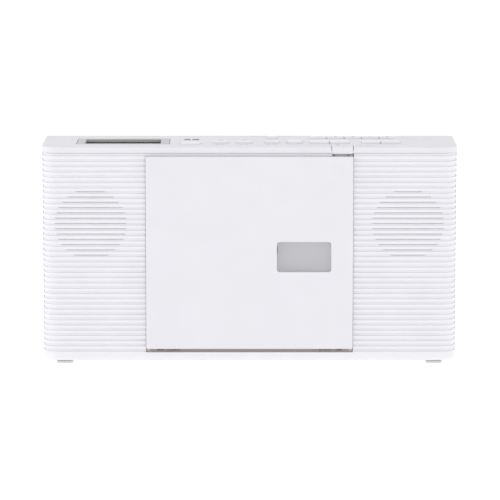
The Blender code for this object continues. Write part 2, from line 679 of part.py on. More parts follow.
def make_pickup(surfaces):
    lens_x = DISC_X - LENS_OFFSET
    rod_z = DISC_Z - GUIDE_ROD_DROP
    body = block((lens_x - 9.0, lens_x + 9.0), (19.5, 26.0), (DISC_Z - 18.5, DISC_Z + 18.5))
    slide_axis = (lens_x, y_at(GUIDE_ROD_DEPTH), rod_z)
    pickup = add_piece("laser_pickup", body, surfaces["black"], slide_axis)
    rack = block((DISC_X - 42.0, DISC_X - 2.0), (22.5, 25.5), (DISC_Z + 17.5, DISC_Z + 21.0))
    fuse(pickup, rack)
    tower = [(0, 14.6), (LENS_RADIUS - 2.0, 14.6), (LENS_RADIUS, 15.4), (LENS_RADIUS, 20.0), (0, 20.0)]
    fuse(pickup, laid_back(turned(tower, 16), lens_x, DISC_Z))
    cut(pickup, rod_across(1.8, GUIDE_ROD_DEPTH, rod_z, (lens_x - 12.0, lens_x + 12.0), 12))
    rod_x = (DISC_X - 73.0, DISC_X - 10.0)
    add_piece("guide_rod", rod_across(1.5, GUIDE_ROD_DEPTH, rod_z, rod_x, 12), surfaces["steel"])


def make_pickup_drive(surfaces):
    x, z = DISC_X + GEAR_OFFSET[0], DISC_Z + GEAR_OFFSET[1]
    outline = []
    for tooth in range(GEAR_TEETH):
        for share, radius in ((0.0, 0.85), (0.25, 1.0), (0.5, 1.0), (0.75, 0.85)):
            turn = 2 * math.pi * (tooth + share) / GEAR_TEETH
            reach = radius * GEAR_RADIUS
            outline.append((reach * math.cos(turn), reach * math.sin(turn)))
    wheel = loft([[(a, b, depth) for a, b in outline] for depth in (22.8, 25.2)])
    gear = add_piece("pickup_gear", laid_back(wheel, x, z), surfaces["white"], (x, y_at(24.0), z))
    fuse(gear, rod_back(1.0, x, z, (24.0, 34.0), 12))
    motor = [(1.3, 26.0), (8.0, 26.0), (8.0, 37.0), (1.3, 37.0)]
    add_piece("pickup_motor", laid_back(turned(motor, 20), x, z), surfaces["steel"])


def make_mechanism_plate(surfaces):
    depths = (MECHANISM_DEPTH, MECHANISM_DEPTH + 1.5)
    plate = block((DISC_X - 74.0, DISC_X + 26.0), depths, (DISC_Z - 36.0, DISC_Z + 36.0))
    mechanism = add_piece("mechanism_plate", plate, surfaces["zinc"])
    window = block((DISC_X - 69.0, DISC_X - 12.0), (17.0, 23.0), (DISC_Z - 20.0, DISC_Z + 20.0))
    cut(mechanism, window)
    cut(mechanism, rod_back(4.0, DISC_X, DISC_Z, (17.0, 23.0), 16))


# ---------------------------------------------------------------- sound
def make_speakers(surfaces):
    """Two round drivers. Their profiles list radius and depth behind the rim."""
    basket = [(0, 16.5), (10.0, 16.5), (13.0, 14.5), (27.0, 3.0), (27.0, 0.0), (29.8, 0.0), (29.8, 2.0)]
    basket += [(28.4, 3.0), (17.0, 19.0), (20.0, 19.5), (20.0, 30.5), (0, 30.5)]
    cone = [(0, 6.5), (5.0, 7.3), (8.5, 9.5), (23.5, 2.1), (25.0, 0.9), (26.6, 1.1)]
    cone += [(26.6, 1.7), (25.0, 1.7), (23.5, 2.9), (9.0, 10.5), (9.0, 13.0), (8.0, 13.0)]
    cone += [(8.0, 10.1), (0, 7.3)]
    for side, x in (("left", -SPEAKER_X), ("right", SPEAKER_X)):
        for name, profile, surface in (
            (f"speaker_{side}", basket, surfaces["zinc"]),
            (f"speaker_cone_{side}", cone, surfaces["paper"]),
        ):
            behind_rim = [(radius, SPEAKER_DEPTH + depth) for radius, depth in profile]
            origin = (x, y_at(SPEAKER_DEPTH), SPEAKER_Z)
            add_piece(name, laid_back(turned(behind_rim, 24), x, SPEAKER_Z), surface, origin)


# ---------------------------------------------------------------- electrics
def make_electrics(surfaces):
    board = block((-60.0, 60.0), (38.0, 39.6), (78.0, 140.0))
    add_piece("main_board", board, surfaces["board"])
    keys = block((-50.0, 112.0), (14.0, 60.0), (153.2, 154.4))
    add_piece("key_board", keys, surfaces["board"])
    core = block((62.0, 98.0), (46.0, 64.0), (10.0, 42.0))
    transformer = add_piece("mains_transformer", core, surfaces["zinc"])
    fuse(transformer, block((69.0, 91.0), (42.0, 68.0), (14.0, 38.0)))
    back = CABINET_DEPTH
    body = block((INLET_X - 10.2, INLET_X + 10.2), (58.0, back), (SOCKET_Z - 6.7, SOCKET_Z + 6.7))
    inlet = add_piece("mains_inlet", body, surfaces["black"])
    outline = rounded_rectangle((-7.9, 7.9), (0.0, 9.6), 4.6, 4)
    place = (INLET_X, SOCKET_Z - 4.8 - FRONT)
    rings = [[(place[0] + a, y_at(depth), place[1] + b) for a, b in outline] for depth in (64.0, 80.0)]
    cut(inlet, loft(rings))
    for x in (INLET_X - 4.3, INLET_X + 4.3):
        fuse(inlet, rod_back(1.2, x, SOCKET_Z, (62.0, back - 1.5), 10))
    jack = [(0, 58.0), (5.0, 58.0), (5.0, 71.4), (4.0, 71.4), (4.0, back), (1.75, back)]
    jack += [(1.75, 61.0), (0, 61.0)]
    for name, x in zip(("headphone_socket", "line_in_socket"), JACK_X):
        add_piece(name, laid_back(turned(jack, 16), x, SOCKET_Z), surfaces["black"])


def make_battery_box(surfaces):
    back = CABINET_DEPTH
    wall = 1.6
    outer = block((-BATTERY_HALF, BATTERY_HALF), (TRAY_DEPTH, back - WALL - GAP), BATTERY_Z)
    tray = add_piece("battery_tray", outer, surfaces["white"])
    low, high = BATTERY_Z
    half = BATTERY_HALF - wall
    cut(tray, block((-half, half), (TRAY_DEPTH + wall, back + 5.0), (low + wall, high - wall)))
    half = BATTERY_HALF - 2.0 - GAP
    lid = block((-half, half), (back - WALL + 0.1, back), (16.0 + GAP, 70.0 - GAP))
    add_piece("battery_cover", lid, surfaces["white"], (0.0, y_at(back), 43.0))


# ---------------------------------------------------------------- antenna
def round_antenna(reach):
    """The depths this far in front of the antenna's axis and behind it."""
    return (ANTENNA_DEPTH - reach, ANTENNA_DEPTH + reach)


def make_antenna(surfaces):
    swivel_axis = (ANTENNA_X, y_at(ANTENNA_DEPTH), ANTENNA_Z)
    swivel = add_empty("antenna_swivel_axis", swivel_axis)
    base = turned([(0, REBATE_FLOOR + GAP), (3.6, REBATE_FLOOR + GAP), (3.6, 147.2), (0, 147.2)], 16)
    base.transform(Matrix.Translation((ANTENNA_X, y_at(ANTENNA_DEPTH), 0.0)))
    fork = add_piece("antenna_swivel", base, surfaces["zinc"])
    reach = 1.9
    cheeks = []
    for depths in ((-3.1, -reach), (reach, 3.1)):
        span = tuple(ANTENNA_DEPTH + depth for depth in depths)
        cheeks.append(block((ANTENNA_X - 1.9, ANTENNA_X + 1.9), span, (147.0, 152.2)))
    fuse(fork, joined(cheeks))
    fuse(fork, rod_back(0.9, ANTENNA_X, ANTENNA_Z, round_antenna(2.6), 10))
    fork.parent = swivel
    fork.location = -swivel.location
    for number, ((outer, inner), (root, tip)) in enumerate(zip(TUBE_RADII, TUBE_ENDS), 1):
        name = f"antenna_tube_{number}"
        if number == 1:
            profile = [(0, -root), (outer, -root), (outer, -tip), (inner, -tip)]
            profile += [(inner, -root + 2.0), (0, -root + 2.0)]
        elif number == 2:
            profile = [(outer, -root), (outer, -tip), (inner, -tip), (inner, -root)]
        else:
            cap, end = TUBE_RADII[0][0], -tip + 4.0
            profile = [(0, -root), (outer, -root), (outer, -tip), (cap, -tip), (cap, end), (0, end)]
        tube = laid_left(turned(profile, 14), ANTENNA_DEPTH, ANTENNA_Z)
        piece = add_piece(name, tube, surfaces["steel"])
        if number == 1:
            eye = rod_back(2.3, ANTENNA_X, ANTENNA_Z, round_antenna(1.6), 14)
            fuse(piece, eye)
            neck_z = (ANTENNA_Z - 1.4, ANTENNA_Z + 1.4)
            fuse(piece, block((root - 1.0, ANTENNA_X - 1.4), round_antenna(1.5), neck_z))
            cut(piece, rod_back(1.2, ANTENNA_X, ANTENNA_Z, round_antenna(4.0), 10))
        piece.parent = swivel
        piece.location = -swivel.location


def clear_scene():
    for item in list(bpy.data.objects):
        bpy.data.objects.remove(item, do_unlink=True)


def main():
    clear_scene()
    surfaces = make_materials()
    make_front_cabinet(surfaces)
    make_rear_cabinet(surfaces)
    make_top_panel(surfaces)
    make_feet(surfaces)
    make_screws(surfaces)
    make_keys(surfaces)
    make_open_key(surfaces)
    make_display(surfaces)
    make_door(surfaces)
    make_well(surfaces)
    make_turntable(surfaces)
    make_pickup(surfaces)
    make_pickup_drive(surfaces)
    make_mechanism_plate(surfaces)
    make_speakers(surfaces)
    make_electrics(surfaces)
    make_battery_box(surfaces)
    make_antenna(surfaces)


main()
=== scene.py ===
"""Looks of the slim clock radio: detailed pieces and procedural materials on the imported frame.

Shapes are written in millimetres on the frame's own axes, front towards -Y and Z up, and are scaled to
metres when a piece is made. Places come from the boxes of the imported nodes. The constants below hold only
what a box can't say, such as the pitch of the ribs.
"""

import math

import bmesh
import bpy
from mathutils import Matrix, Vector


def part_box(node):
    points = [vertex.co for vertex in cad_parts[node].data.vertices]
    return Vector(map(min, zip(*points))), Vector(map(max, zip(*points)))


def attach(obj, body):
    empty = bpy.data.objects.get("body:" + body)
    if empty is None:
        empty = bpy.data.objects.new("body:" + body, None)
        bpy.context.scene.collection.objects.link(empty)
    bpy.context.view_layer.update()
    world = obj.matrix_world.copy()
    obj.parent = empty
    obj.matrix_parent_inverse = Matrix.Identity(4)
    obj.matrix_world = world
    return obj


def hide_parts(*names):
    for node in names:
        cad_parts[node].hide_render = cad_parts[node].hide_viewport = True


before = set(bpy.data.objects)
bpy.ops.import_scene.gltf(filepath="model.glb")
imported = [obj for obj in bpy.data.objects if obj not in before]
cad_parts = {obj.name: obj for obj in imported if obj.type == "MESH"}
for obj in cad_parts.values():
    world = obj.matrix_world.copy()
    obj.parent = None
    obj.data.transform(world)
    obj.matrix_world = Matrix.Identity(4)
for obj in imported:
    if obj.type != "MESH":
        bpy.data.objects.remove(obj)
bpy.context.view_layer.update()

MM = 0.001


def spans(node):
    """A node's x, y and z ranges at rest, in millimetres."""
    low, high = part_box(node)
    return [(a / MM, b / MM) for a, b in zip(low, high)]


# ---------------------------------------------------------------- details that the boxes don't hold
FRONT = spans("front_cabinet")[1][0]  # y of the rib crests
CABINET_TOP = spans("top_panel")[2][1]
FRONT_CORNER, REAR_CORNER = 11.0, 9.0
BOTTOM_FILLET = 3.5
FRONT_INNER, WALL = 4.2, 2.2  # wall thickness of the front and rear cabinets
PARTING_GAP = 0.3

RIB_PITCH = 3.864
GROOVE_COUNT = 37
GROOVE_HALF = 0.95
GROOVE_DEPTH = 1.0
TOP_GROOVE_CENTRE = 149.2
WIDE_GROOVE_BOTTOM = 152.3
CREST_ROUND, FLOOR_ROUND = 0.25, 0.2

GRILLE_RADIUS = 25.8
GRILLE_FIRST, GRILLE_LAST = 6, 18
SLIT_HEIGHT = 0.7
CLOTH_DEPTHS = (FRONT + 1.35, FRONT + 2.2)
GRILLE_BOSS_RADIUS, GRILLE_BOSS_DEPTH = 27.0, 7.2  # the wall is thicker behind the slits

REBATE_HALF, REBATE_DEPTH = 75.15, 1.2
SHELF_TOP = 8.5
OPENING_HALF, OPENING_TOP = 72.5, 150.5
OPENING_FOOT = 17.8  # up to here the opening is as wide as the rebate
LATCH_NOTCH_BOTTOM = 147.0
ARM_SLOT_X = (50.9, 59.8)
SPRING_SLOT_X = (62.8, 67.5)
SLOT_DEPTHS = (6.9, 13.6)
WINDOW_X, WINDOW_Z = (19.9, 59.1), (68.0, 89.9)
WINDOW_CORNER = 1.8
PIVOT = (FRONT + 10.0, 6.3)  # y and z of the door's hinge axis
DISH_RADIUS = 61.8

SHELF_DEPTHS = (3.0, 16.0)  # the ledge under the door, behind the rib crests
SHELF_BOTTOM = 6.5
PIN_BOSS_X = ((48.1, 50.6), (60.1, 62.3))  # the lugs on either side of each door arm
PIN_BOSS_DEPTHS = (7.6, 12.4)
DOOR_BOTTOM = 11.4
DOOR_ARM_X = (51.3, 59.4)
DOT_CORNER = (61.4, 139.6)  # x and z of the first raised dot on the door
DOT_PITCH = 2.8
SPRING_WIRE = 0.36
SPRING_TURNS = 4.5
SPRING_STEPS = 126
HUB_HOLE_RADIUS = 5.0
LENS_OFFSET = 22.5  # from the spindle to the lens, with the pickup at rest
FINGER_SCOOP_ANGLES = (135.0, 225.0)
GEAR_TEETH = 16
GEAR_PITCH_DIAMETER = 12.0
RACK_DEPTHS = (22.5, 25.5)
TURNTABLE_FACE = 12.5  # depth of the face that the disc rests on
BALL_ORBIT = 6.9  # the three balls that grip the disc
SCREW_INSET = 4.0
DECK_SCREW_INSET = 6.0
# Left, bottom, width and height of each chip on the main board.
BOARD_CHIPS = ((-46, 96, 16, 16), (-18, 118, 22, 9), (14, 90, 12, 12), (34, 116, 9, 14))
# The centre, radius and height of each capacitor on the main board.
BOARD_CANS = ((-12, 88, 4, 10), (-2, 88, 4, 10), (6, 106, 5, 12), (48, 92, 4, 9), (-50, 126, 3, 7))
SWITCH_HALF = 2.0
BATTERY_WALL = 1.6
BATTERY_ROW_RISE = 13.6  # each battery's axis from the middle of the tray
CONTACT_HALF = 8.0
COIL_TURNS = 4
COIL_STEPS = 96
# Where each antenna tube starts and ends along x, with the antenna folded.
TUBE_ROOTS = {1: 125.0, 2: 121.0, 3: 117.0}
TUBE_TIPS = {1: -100.0, 2: -103.0, 3: -108.0}
MARKS_BEHIND_KEYS = 38.4
MARKS_AHEAD_OF_KEYS = 14.6
TOUCH_DOT = (102.2, 40.7)  # x and depth of the raised dot on the top panel
KEY_FLANGE = (155.6, 156.6)
FLANGE_REACH = 0.9
KEY_CORNER = 1.6
KEY_GAP = 0.16  # between a key and the edge of its opening
LENS_DROP = 0.6
ROW_KEYS = ("timer_key", "sleep_key", "display_key", "memory_key")
PAIRED_KEYS = (("skip_back_key", "skip_forward_key"), ("volume_down_key", "volume_up_key"))
PRESET_KEYS = tuple(f"preset_key_{number}" for number in range(1, 6))


def inside(span, margin):
    """The span with both ends moved in by the margin, or out if it is negative."""
    return (span[0] + margin, span[1] - margin)


def around(centre, half):
    return (centre - half, centre + half)


def back(depth):
    """The y that lies this far behind the rib crests."""
    return FRONT + depth


# ---------------------------------------------------------------- materials
class Surface:
    """A procedural material under construction, laid out on the object's own coordinates."""

    def __init__(self, name, slot):
        self.slot = slot
        self.material = bpy.data.materials.new(name)
        self.material.use_nodes = True
        self.tree = self.material.node_tree
        self.shader = self.tree.nodes["Principled BSDF"]
        self.place = self.add("ShaderNodeTexCoord").outputs["Object"]

    def add(self, kind, inputs=(), **settings):
        node = self.tree.nodes.new(kind)
        for key, value in settings.items():
            setattr(node, key, value)
        for key, value in dict(inputs).items():
            self.feed(node.inputs[key], value)
        return node

    def feed(self, socket, value):
        if isinstance(value, bpy.types.NodeSocket):
            self.tree.links.new(value, socket)
        else:
            socket.default_value = value

    def set(self, **values):
        for key, value in values.items():
            self.feed(self.shader.inputs[key.replace("_", " ").title().replace("Ior", "IOR")], value)

    def stretched(self, x, y, z):
        """The coordinates scaled along each axis, so that a pattern runs along the smallest factor."""
        return self.add("ShaderNodeMapping", {"Vector": self.place, "Scale": (x, y, z)}).outputs[0]

    def noise(self, size, detail=2.0, place=None):
        """Noise with features about this many millimetres across."""
        values = {"Vector": place or self.place, "Scale": 1.0 / (size * MM), "Detail": detail}
        return self.add("ShaderNodeTexNoise", values).outputs[0]

    def cells(self, size, place=None):
        values = {"Vector": place or self.place, "Scale": 1.0 / (size * MM)}
        return self.add("ShaderNodeTexVoronoi", values).outputs["Distance"]

    def ranged(self, factor, low, high, start=0.3, end=0.7):
        values = {"Value": factor, "From Min": start, "From Max": end, "To Min": low, "To Max": high}
        return self.add("ShaderNodeMapRange", values).outputs[0]

    def mixed(self, factor, first, second):
        node = self.add("ShaderNodeMix", data_type="RGBA")
        for index, value in ((0, factor), (6, first), (7, second)):
            if isinstance(value, tuple):
                value = (*value, 1.0)
            self.feed(node.inputs[index], value)
        return node.outputs[2]

    def bump(self, height, strength, distance=0.02):
        values = {"Height": height, "Strength": strength, "Distance": distance * MM}
        self.feed(self.shader.inputs["Normal"], self.add("ShaderNodeBump", values).outputs[0])


def tinted(colour, factor):
    return tuple(channel * factor for channel in colour)


def moulded(name, slot, colour, roughness=0.42, shade=0.03, grain=0.35, strength=0.12):
    """Moulded plastic: faint clouds in its colour, an uneven gloss and a fine spark-eroded grain."""
    surface = Surface(name, slot)
    cloud = surface.ranged(surface.noise(22.0, 3.0), 0.0, 1.0)
    surface.set(base_color=surface.mixed(cloud, tinted(colour, 1.0 - shade), colour))
    surface.set(roughness=surface.ranged(surface.noise(3.0, 4.0), roughness - 0.05, roughness + 0.05))
    surface.bump(surface.noise(grain, 3.0), strength)
    return surface


def glowing(name, colour, light):
    """White plastic with a faint light of its own, an aid that keeps closed cavities from going black."""
    surface = moulded(name, "white_plastic", colour, 0.5, 0.04)
    surface.set(emission_color=(*light, 1.0), emission_strength=1.0)
    return surface


def metal(name, slot, colour, roughness, stretch, grain=0.4, strength=0.1):
    """Bare or plated metal whose fine scratches run along the axis with the smallest stretch."""
    surface = Surface(name, slot)
    along = surface.stretched(*stretch)
    scratches = surface.noise(grain, 4.0, along)
    tone = surface.ranged(scratches, 0.0, 1.0)
    surface.set(base_color=surface.mixed(tone, tinted(colour, 0.9), colour), metallic=1.0)
    surface.set(
        roughness=surface.ranged(surface.noise(2.0, 3.0, along), roughness - 0.05, roughness + 0.07)
    )
    surface.bump(scratches, strength, 0.01)
    return surface


def spangled_zinc():
    surface = Surface("zinc_plate", "zinc_plated_steel")
    cells = surface.cells(2.4)
    tone = surface.ranged(cells, 0.0, 1.0, 0.0, 0.8)
    surface.set(base_color=surface.mixed(tone, (0.56, 0.57, 0.58), (0.42, 0.43, 0.45)), metallic=1.0)
    surface.set(roughness=surface.ranged(cells, 0.3, 0.5, 0.0, 0.8))
    surface.bump(surface.noise(0.5, 3.0), 0.15)
    return surface


def rubber():
    surface = Surface("foot_rubber", "grey_rubber")
    speckle = surface.ranged(surface.noise(0.6, 4.0), 0.0, 1.0)
    surface.set(base_color=surface.mixed(speckle, (0.58, 0.58, 0.59), (0.64, 0.64, 0.65)))
    surface.set(roughness=surface.ranged(surface.noise(1.5), 0.7, 0.9))
    surface.bump(surface.noise(0.3, 4.0), 0.35)
    return surface


def clear_plastic(name, clearness, ior):
    surface = Surface(name, "clear_plastic")
    haze = surface.noise(9.0, 3.0)
    tone = surface.ranged(haze, 0.0, 1.0)
    surface.set(base_color=surface.mixed(tone, (0.93, 0.93, 0.95), (0.97, 0.97, 0.98)))
    surface.set(transmission_weight=clearness, ior=ior)
    surface.set(roughness=surface.ranged(haze, 0.0, 0.03))
    surface.bump(surface.noise(14.0), 0.05, 0.01)
    return surface


def grille_cloth():
    """A pale open weave behind the grille's slits."""
    surface = Surface("grille_cloth", "grey_plastic")
    weave = surface.noise(0.5, 3.0, surface.stretched(1.0, 1.0, 0.5))
    thread = surface.ranged(weave, 0.0, 1.0)
    surface.set(base_color=surface.mixed(thread, (0.60, 0.60, 0.62), (0.74, 0.74, 0.76)))
    surface.set(roughness=surface.ranged(surface.noise(2.0), 0.8, 0.95))
    surface.bump(weave, 0.4)
    return surface


def lcd_film():
    """The unlit display and the dark lens over it: a warm grey with a faint lattice."""
    surface = Surface("lcd_film", "lcd_glass")
    lattice = surface.noise(0.35, 2.0)
    tone = surface.ranged(lattice, 0.0, 1.0)
    surface.set(base_color=surface.mixed(tone, (0.070, 0.060, 0.054), (0.085, 0.073, 0.066)))
    surface.set(roughness=surface.ranged(surface.noise(4.0), 0.45, 0.6), specular_ior_level=0.0)
    surface.bump(lattice, 0.05)
    return surface


def cone_paper():
    surface = Surface("cone_paper", "speaker_paper")
    fibres = surface.noise(0.5, 6.0, surface.stretched(1.0, 0.5, 2.0))
    tone = surface.ranged(fibres, 0.0, 1.0)
    surface.set(base_color=surface.mixed(tone, (0.030, 0.030, 0.032), (0.075, 0.073, 0.070)))
    surface.set(roughness=surface.ranged(fibres, 0.8, 0.95))
    surface.bump(fibres, 0.5, 0.05)
    return surface


def solder_mask():
    """A circuit board's green lacquer over copper tracks."""
    surface = Surface("solder_mask", "circuit_board")
    place = surface.stretched(1.0, 1.0, 1.0)
    brick = {"Vector": place, "Scale": 260.0, "Mortar Size": 0.05}
    brick["Color1"] = (0.012, 0.10, 0.045, 1.0)
    brick["Color2"] = (0.016, 0.13, 0.055, 1.0)
    brick["Mortar"] = (0.03, 0.22, 0.10, 1.0)
    tracks = surface.add("ShaderNodeTexBrick", brick)
    surface.set(base_color=tracks.outputs[0])
    surface.set(roughness=surface.ranged(surface.noise(2.0), 0.3, 0.45))
    surface.bump(tracks.outputs[1], 0.3, 0.03)
    return surface


def ink(name, colour):
    surface = Surface(name, "black_plastic")
    tone = surface.ranged(surface.noise(0.4, 3.0), 0.0, 1.0)
    surface.set(base_color=surface.mixed(tone, colour, tinted(colour, 1.25)))
    surface.set(roughness=surface.ranged(surface.noise(0.8), 0.35, 0.5))
    return surface


def copper_winding():
    surface = Surface("winding_tape", "zinc_plated_steel")
    wraps = surface.noise(0.7, 2.0, surface.stretched(0.1, 0.1, 3.0))
    tone = surface.ranged(wraps, 0.0, 1.0)
    surface.set(base_color=surface.mixed(tone, (0.55, 0.36, 0.05), (0.72, 0.50, 0.10)))
    surface.set(roughness=surface.ranged(wraps, 0.35, 0.5))
    surface.bump(wraps, 0.3, 0.05)
    return surface


def laminations():
    """The stacked sheets of a transformer's core, seen as thin lines."""
    surface = Surface("core_laminations", "zinc_plated_steel")
    wave = {"Vector": surface.place, "Scale": 500.0, "Distortion": 0.3, "Detail": 1.0}
    sheets = surface.add("ShaderNodeTexWave", wave, bands_direction="Y").outputs[1]
    tone = surface.ranged(sheets, 0.0, 1.0)
    surface.set(base_color=surface.mixed(tone, (0.16, 0.16, 0.17), (0.34, 0.34, 0.36)), metallic=0.9)
    surface.set(roughness=surface.ranged(sheets, 0.4, 0.6, 0.0, 1.0))
    surface.bump(sheets, 0.4, 0.05)
    return surface


def lens_glass():
    surface = Surface("lens_glass", "black_plastic")
    tone = surface.ranged(surface.noise(1.5), 0.0, 1.0)
    surface.set(base_color=surface.mixed(tone, (0.02, 0.02, 0.05), (0.04, 0.03, 0.10)))
    surface.set(roughness=surface.ranged(surface.noise(3.0), 0.03, 0.08), coat_weight=1.0)
    return surface


WHITE = (0.760, 0.753, 0.792)
# The front shell's white is a lighter copy of the cabinet's white. It is painted light that makes the
# ribbed front read brighter than the top panel and the door, which are the same plastic.
LIT_FRONT_WHITE = (0.812, 0.805, 0.840)
KEY_WHITE = (0.82, 0.815, 0.85)
GREY = (0.52, 0.52, 0.545)
BLACK = (0.022, 0.022, 0.024)


def make_surfaces():
    return {
        "white": moulded("white_moulding", "white_plastic", WHITE),
        "lit_front_white": moulded("lit_front_moulding", "white_plastic", LIT_FRONT_WHITE),
        "key_white": moulded("key_moulding", "white_plastic", KEY_WHITE, 0.33, 0.02, 0.5, 0.05),
        "cloth": grille_cloth(),
        "smooth_white": moulded("smooth_white_moulding", "white_plastic", WHITE, 0.33, 0.02, 0.5, 0.05),
        # Painted light: the disc well and the battery box glow faintly, so that the closed cavity doesn't
        # go black.
        "inner_white_glow": glowing("inner_white_moulding_painted_glow", (0.60, 0.595, 0.61), (0.20, 0.195, 0.20)),
        # Painted shade and light: the sill's warm grey is the shade that the door casts on the white shelf,
        # lifted by a faint painted glow.
        "sill_shade_and_glow": glowing("sill_painted_shade_and_glow", (0.46, 0.42, 0.40), (0.15, 0.125, 0.11)),
        "grey": moulded("grey_moulding", "grey_plastic", GREY, 0.38, 0.03, 0.4, 0.08),
        "black": moulded("black_moulding", "black_plastic", BLACK, 0.45, 0.2, 0.3, 0.2),
        "black_gloss": moulded("black_gloss_moulding", "black_plastic", BLACK, 0.25, 0.2, 0.5, 0.05),
        "gear": moulded("gear_acetal", "white_plastic", (0.66, 0.65, 0.62), 0.35, 0.04, 0.5, 0.05),
        "rubber": rubber(),
        "clear": clear_plastic("clear_window", 0.85, 1.46),
        "lcd": lcd_film(),
        "chrome": metal("chromed_tube", "chromed_tube", (0.78, 0.79, 0.80), 0.12, (0.05, 1.0, 1.0)),
        "steel": metal("spring_steel", "spring_steel", (0.60, 0.60, 0.62), 0.28, (0.1, 1.0, 1.0)),
        "motor": metal("motor_can", "motor_steel", (0.55, 0.56, 0.58), 0.32, (1.0, 0.1, 1.0)),
        "screw": metal(
            "black_screw", "black_steel", (0.05, 0.05, 0.055), 0.35, (1.0, 1.0, 1.0), 0.2, 0.2
        ),
        "zinc": spangled_zinc(),
        "paper": cone_paper(),
        "board": solder_mask(),
        "ink": ink("grey_ink", (0.30, 0.31, 0.36)),
        "blue_ink": ink("blue_ink", (0.035, 0.05, 0.13)),
        "segment": ink("lcd_segment", (0.045, 0.038, 0.034)),
        "winding": copper_winding(),
        "core": laminations(),
        "glass": lens_glass(),
    }


# ---------------------------------------------------------------- shapes
def arc(centre, radius, start, end, steps):
    """Points on an arc between two angles in degrees, both ends included."""
    angles = [math.radians(start + (end - start) * i / steps) for i in range(steps + 1)]
    return [(centre[0] + radius * math.cos(a), centre[1] + radius * math.sin(a)) for a in angles]


def rounded_outline(x, y, radius, steps=8, far_radius=None):
    """A rectangle with rounded corners. The two corners at the far y may have a radius of their own."""
    far = radius if far_radius is None else far_radius
    (left, right), (near, rear) = x, y
    return (
        arc((left + radius, near + radius), radius, 180, 270, steps)
        + arc((right - radius, near + radius), radius, 270, 360, steps)
        + arc((right - far, rear - far), far, 0, 90, steps)
        + arc((left + far, rear - far), far, 90, 180, steps)
    )


def outline_maker(x, y, radius, steps=8, far_radius=None):
    """A function that gives the outline moved inwards by an inset."""
    far = radius if far_radius is None else far_radius

    def outline(inset):
        span_x = inside(x, inset)
        span_y = inside(y, inset)
        near_radius = max(radius - inset, 0.03)
        return rounded_outline(span_x, span_y, near_radius, steps, max(far - inset, 0.03))

    return outline


def rounded_levels(low, high, lower, upper, steps=4):
    """Heights and insets of a plate whose lower and upper edges are rounded by these radii."""
    levels = []
    for i in range(steps + 1) if lower else (steps,):
        turn = math.pi / 2 * i / steps
        levels.append((low + lower * (1 - math.cos(turn)), lower * (1 - math.sin(turn))))
    for i in range(steps + 1) if upper else (0,):
        turn = math.pi / 2 * i / steps
        levels.append((high - upper * (1 - math.sin(turn)), upper * (1 - math.cos(turn))))
    return levels


def loft(rings):
    """A closed body through rings that have the same number of points, flat at both ends."""
    shape = bmesh.new()
    loops = [[shape.verts.new(point) for point in ring] for ring in rings]
    for lower, upper in zip(loops, loops[1:]):
        for i in range(len(lower)):
            j = (i + 1) % len(lower)
            shape.faces.new((lower[i], lower[j], upper[j], upper[i]))
    shape.faces.new(loops[0][::-1])
    shape.faces.new(loops[-1])
    return shape


def plate(outline, levels):
    return loft([[(x, y, z) for x, y in outline(inset)] for z, inset in levels])


def slab(x, y, z, corner=0.8, lower=0.15, upper=0.3, steps=6):
    """A block with rounded upright edges, and with its lower and upper edges eased."""
    return plate(outline_maker(x, y, corner, steps), rounded_levels(z[0], z[1], lower, upper))


def turn_x(shape, degrees):
    shape.transform(Matrix.Rotation(math.radians(degrees), 4, "X"))
    return shape


def moved(shape, x=0.0, y=0.0, z=0.0):
    shape.transform(Matrix.Translation((x, y, z)))
    return shape


def front_slab(x, y, z, corner=0.8, lower=0.15, upper=0.3, steps=6):
    """A slab whose outline lies in the front plane. Its upper edge is the one towards the front."""
    return turn_x(slab(x, z, (-y[1], -y[0]), corner, lower, upper, steps), 90)


def rear_slab(x, y, z, corner=0.8, lower=0.15, upper=0.3, steps=6):
    """A slab whose outline lies in the rear plane. Its upper edge is the one towards the rear."""
    return turn_x(slab(x, (-z[1], -z[0]), y, corner, lower, upper, steps), -90)


def flared(outline, low, high, flare):
    """A cutter for a hole, which opens by a small chamfer where it meets the surface at the high end."""
    return plate(outline, [(low, 0.0), (high - flare, 0.0), (high + 0.2, -flare - 0.2)])


def front_hole(x, z, face, depth, corner, flare=0.25, steps=8):
    """A cutter through a wall from the front face, with a chamfer at that face."""
    return turn_x(flared(outline_maker(x, z, corner, steps), -face - depth, -face, flare), 90)


def rear_hole(x, z, face, depth, corner, flare=0.3, steps=8):
    outline = outline_maker(x, (-z[1], -z[0]), corner, steps)
    return turn_x(flared(outline, face - depth, face, flare), -90)


def eased(points, radius, steps=3):
    """An open line with its corners rounded by up to the radius. Its two ends stay."""
    line = [points[0]]
    for before, corner, after in zip(points, points[1:], points[2:]):
        to_before = Vector(before) - Vector(corner)
        to_after = Vector(after) - Vector(corner)
        reach = min(radius, 0.45 * to_before.length, 0.45 * to_after.length)
        start = Vector(corner) + to_before.normalized() * reach
        end = Vector(corner) + to_after.normalized() * reach
        for i in range(steps + 1):
            t = i / steps
            point = start * (1 - t) ** 2 + Vector(corner) * (2 * t * (1 - t)) + end * t**2
            line.append(tuple(point))
    return line + [points[-1]]


def shrunk(points, inset):
    """A closed outline moved inwards, which runs anticlockwise or clockwise."""
    area = sum(a[0] * b[1] - b[0] * a[1] for a, b in zip(points, [*points[1:], points[0]]))
    way = inset if area > 0 else -inset
    moved_in = []
    for before, here, after in zip([points[-1], *points], points, [*points[1:], points[0]]):
        along = (
            Vector(here) - Vector(before)
        ).normalized() + (Vector(after) - Vector(here)).normalized()
        along.normalize()
        moved_in.append((here[0] - along.y * way, here[1] + along.x * way))
    return moved_in


def eased_loop(points, radius, steps=3):
    """A closed outline with all its corners rounded."""
    return eased([points[-1], *points, points[0]], radius, steps)[1:-1]


def prism_across(outline, x):
    """A prism along X whose outline is given as y and z."""
    return loft([[(end, y, z) for y, z in outline] for end in x])


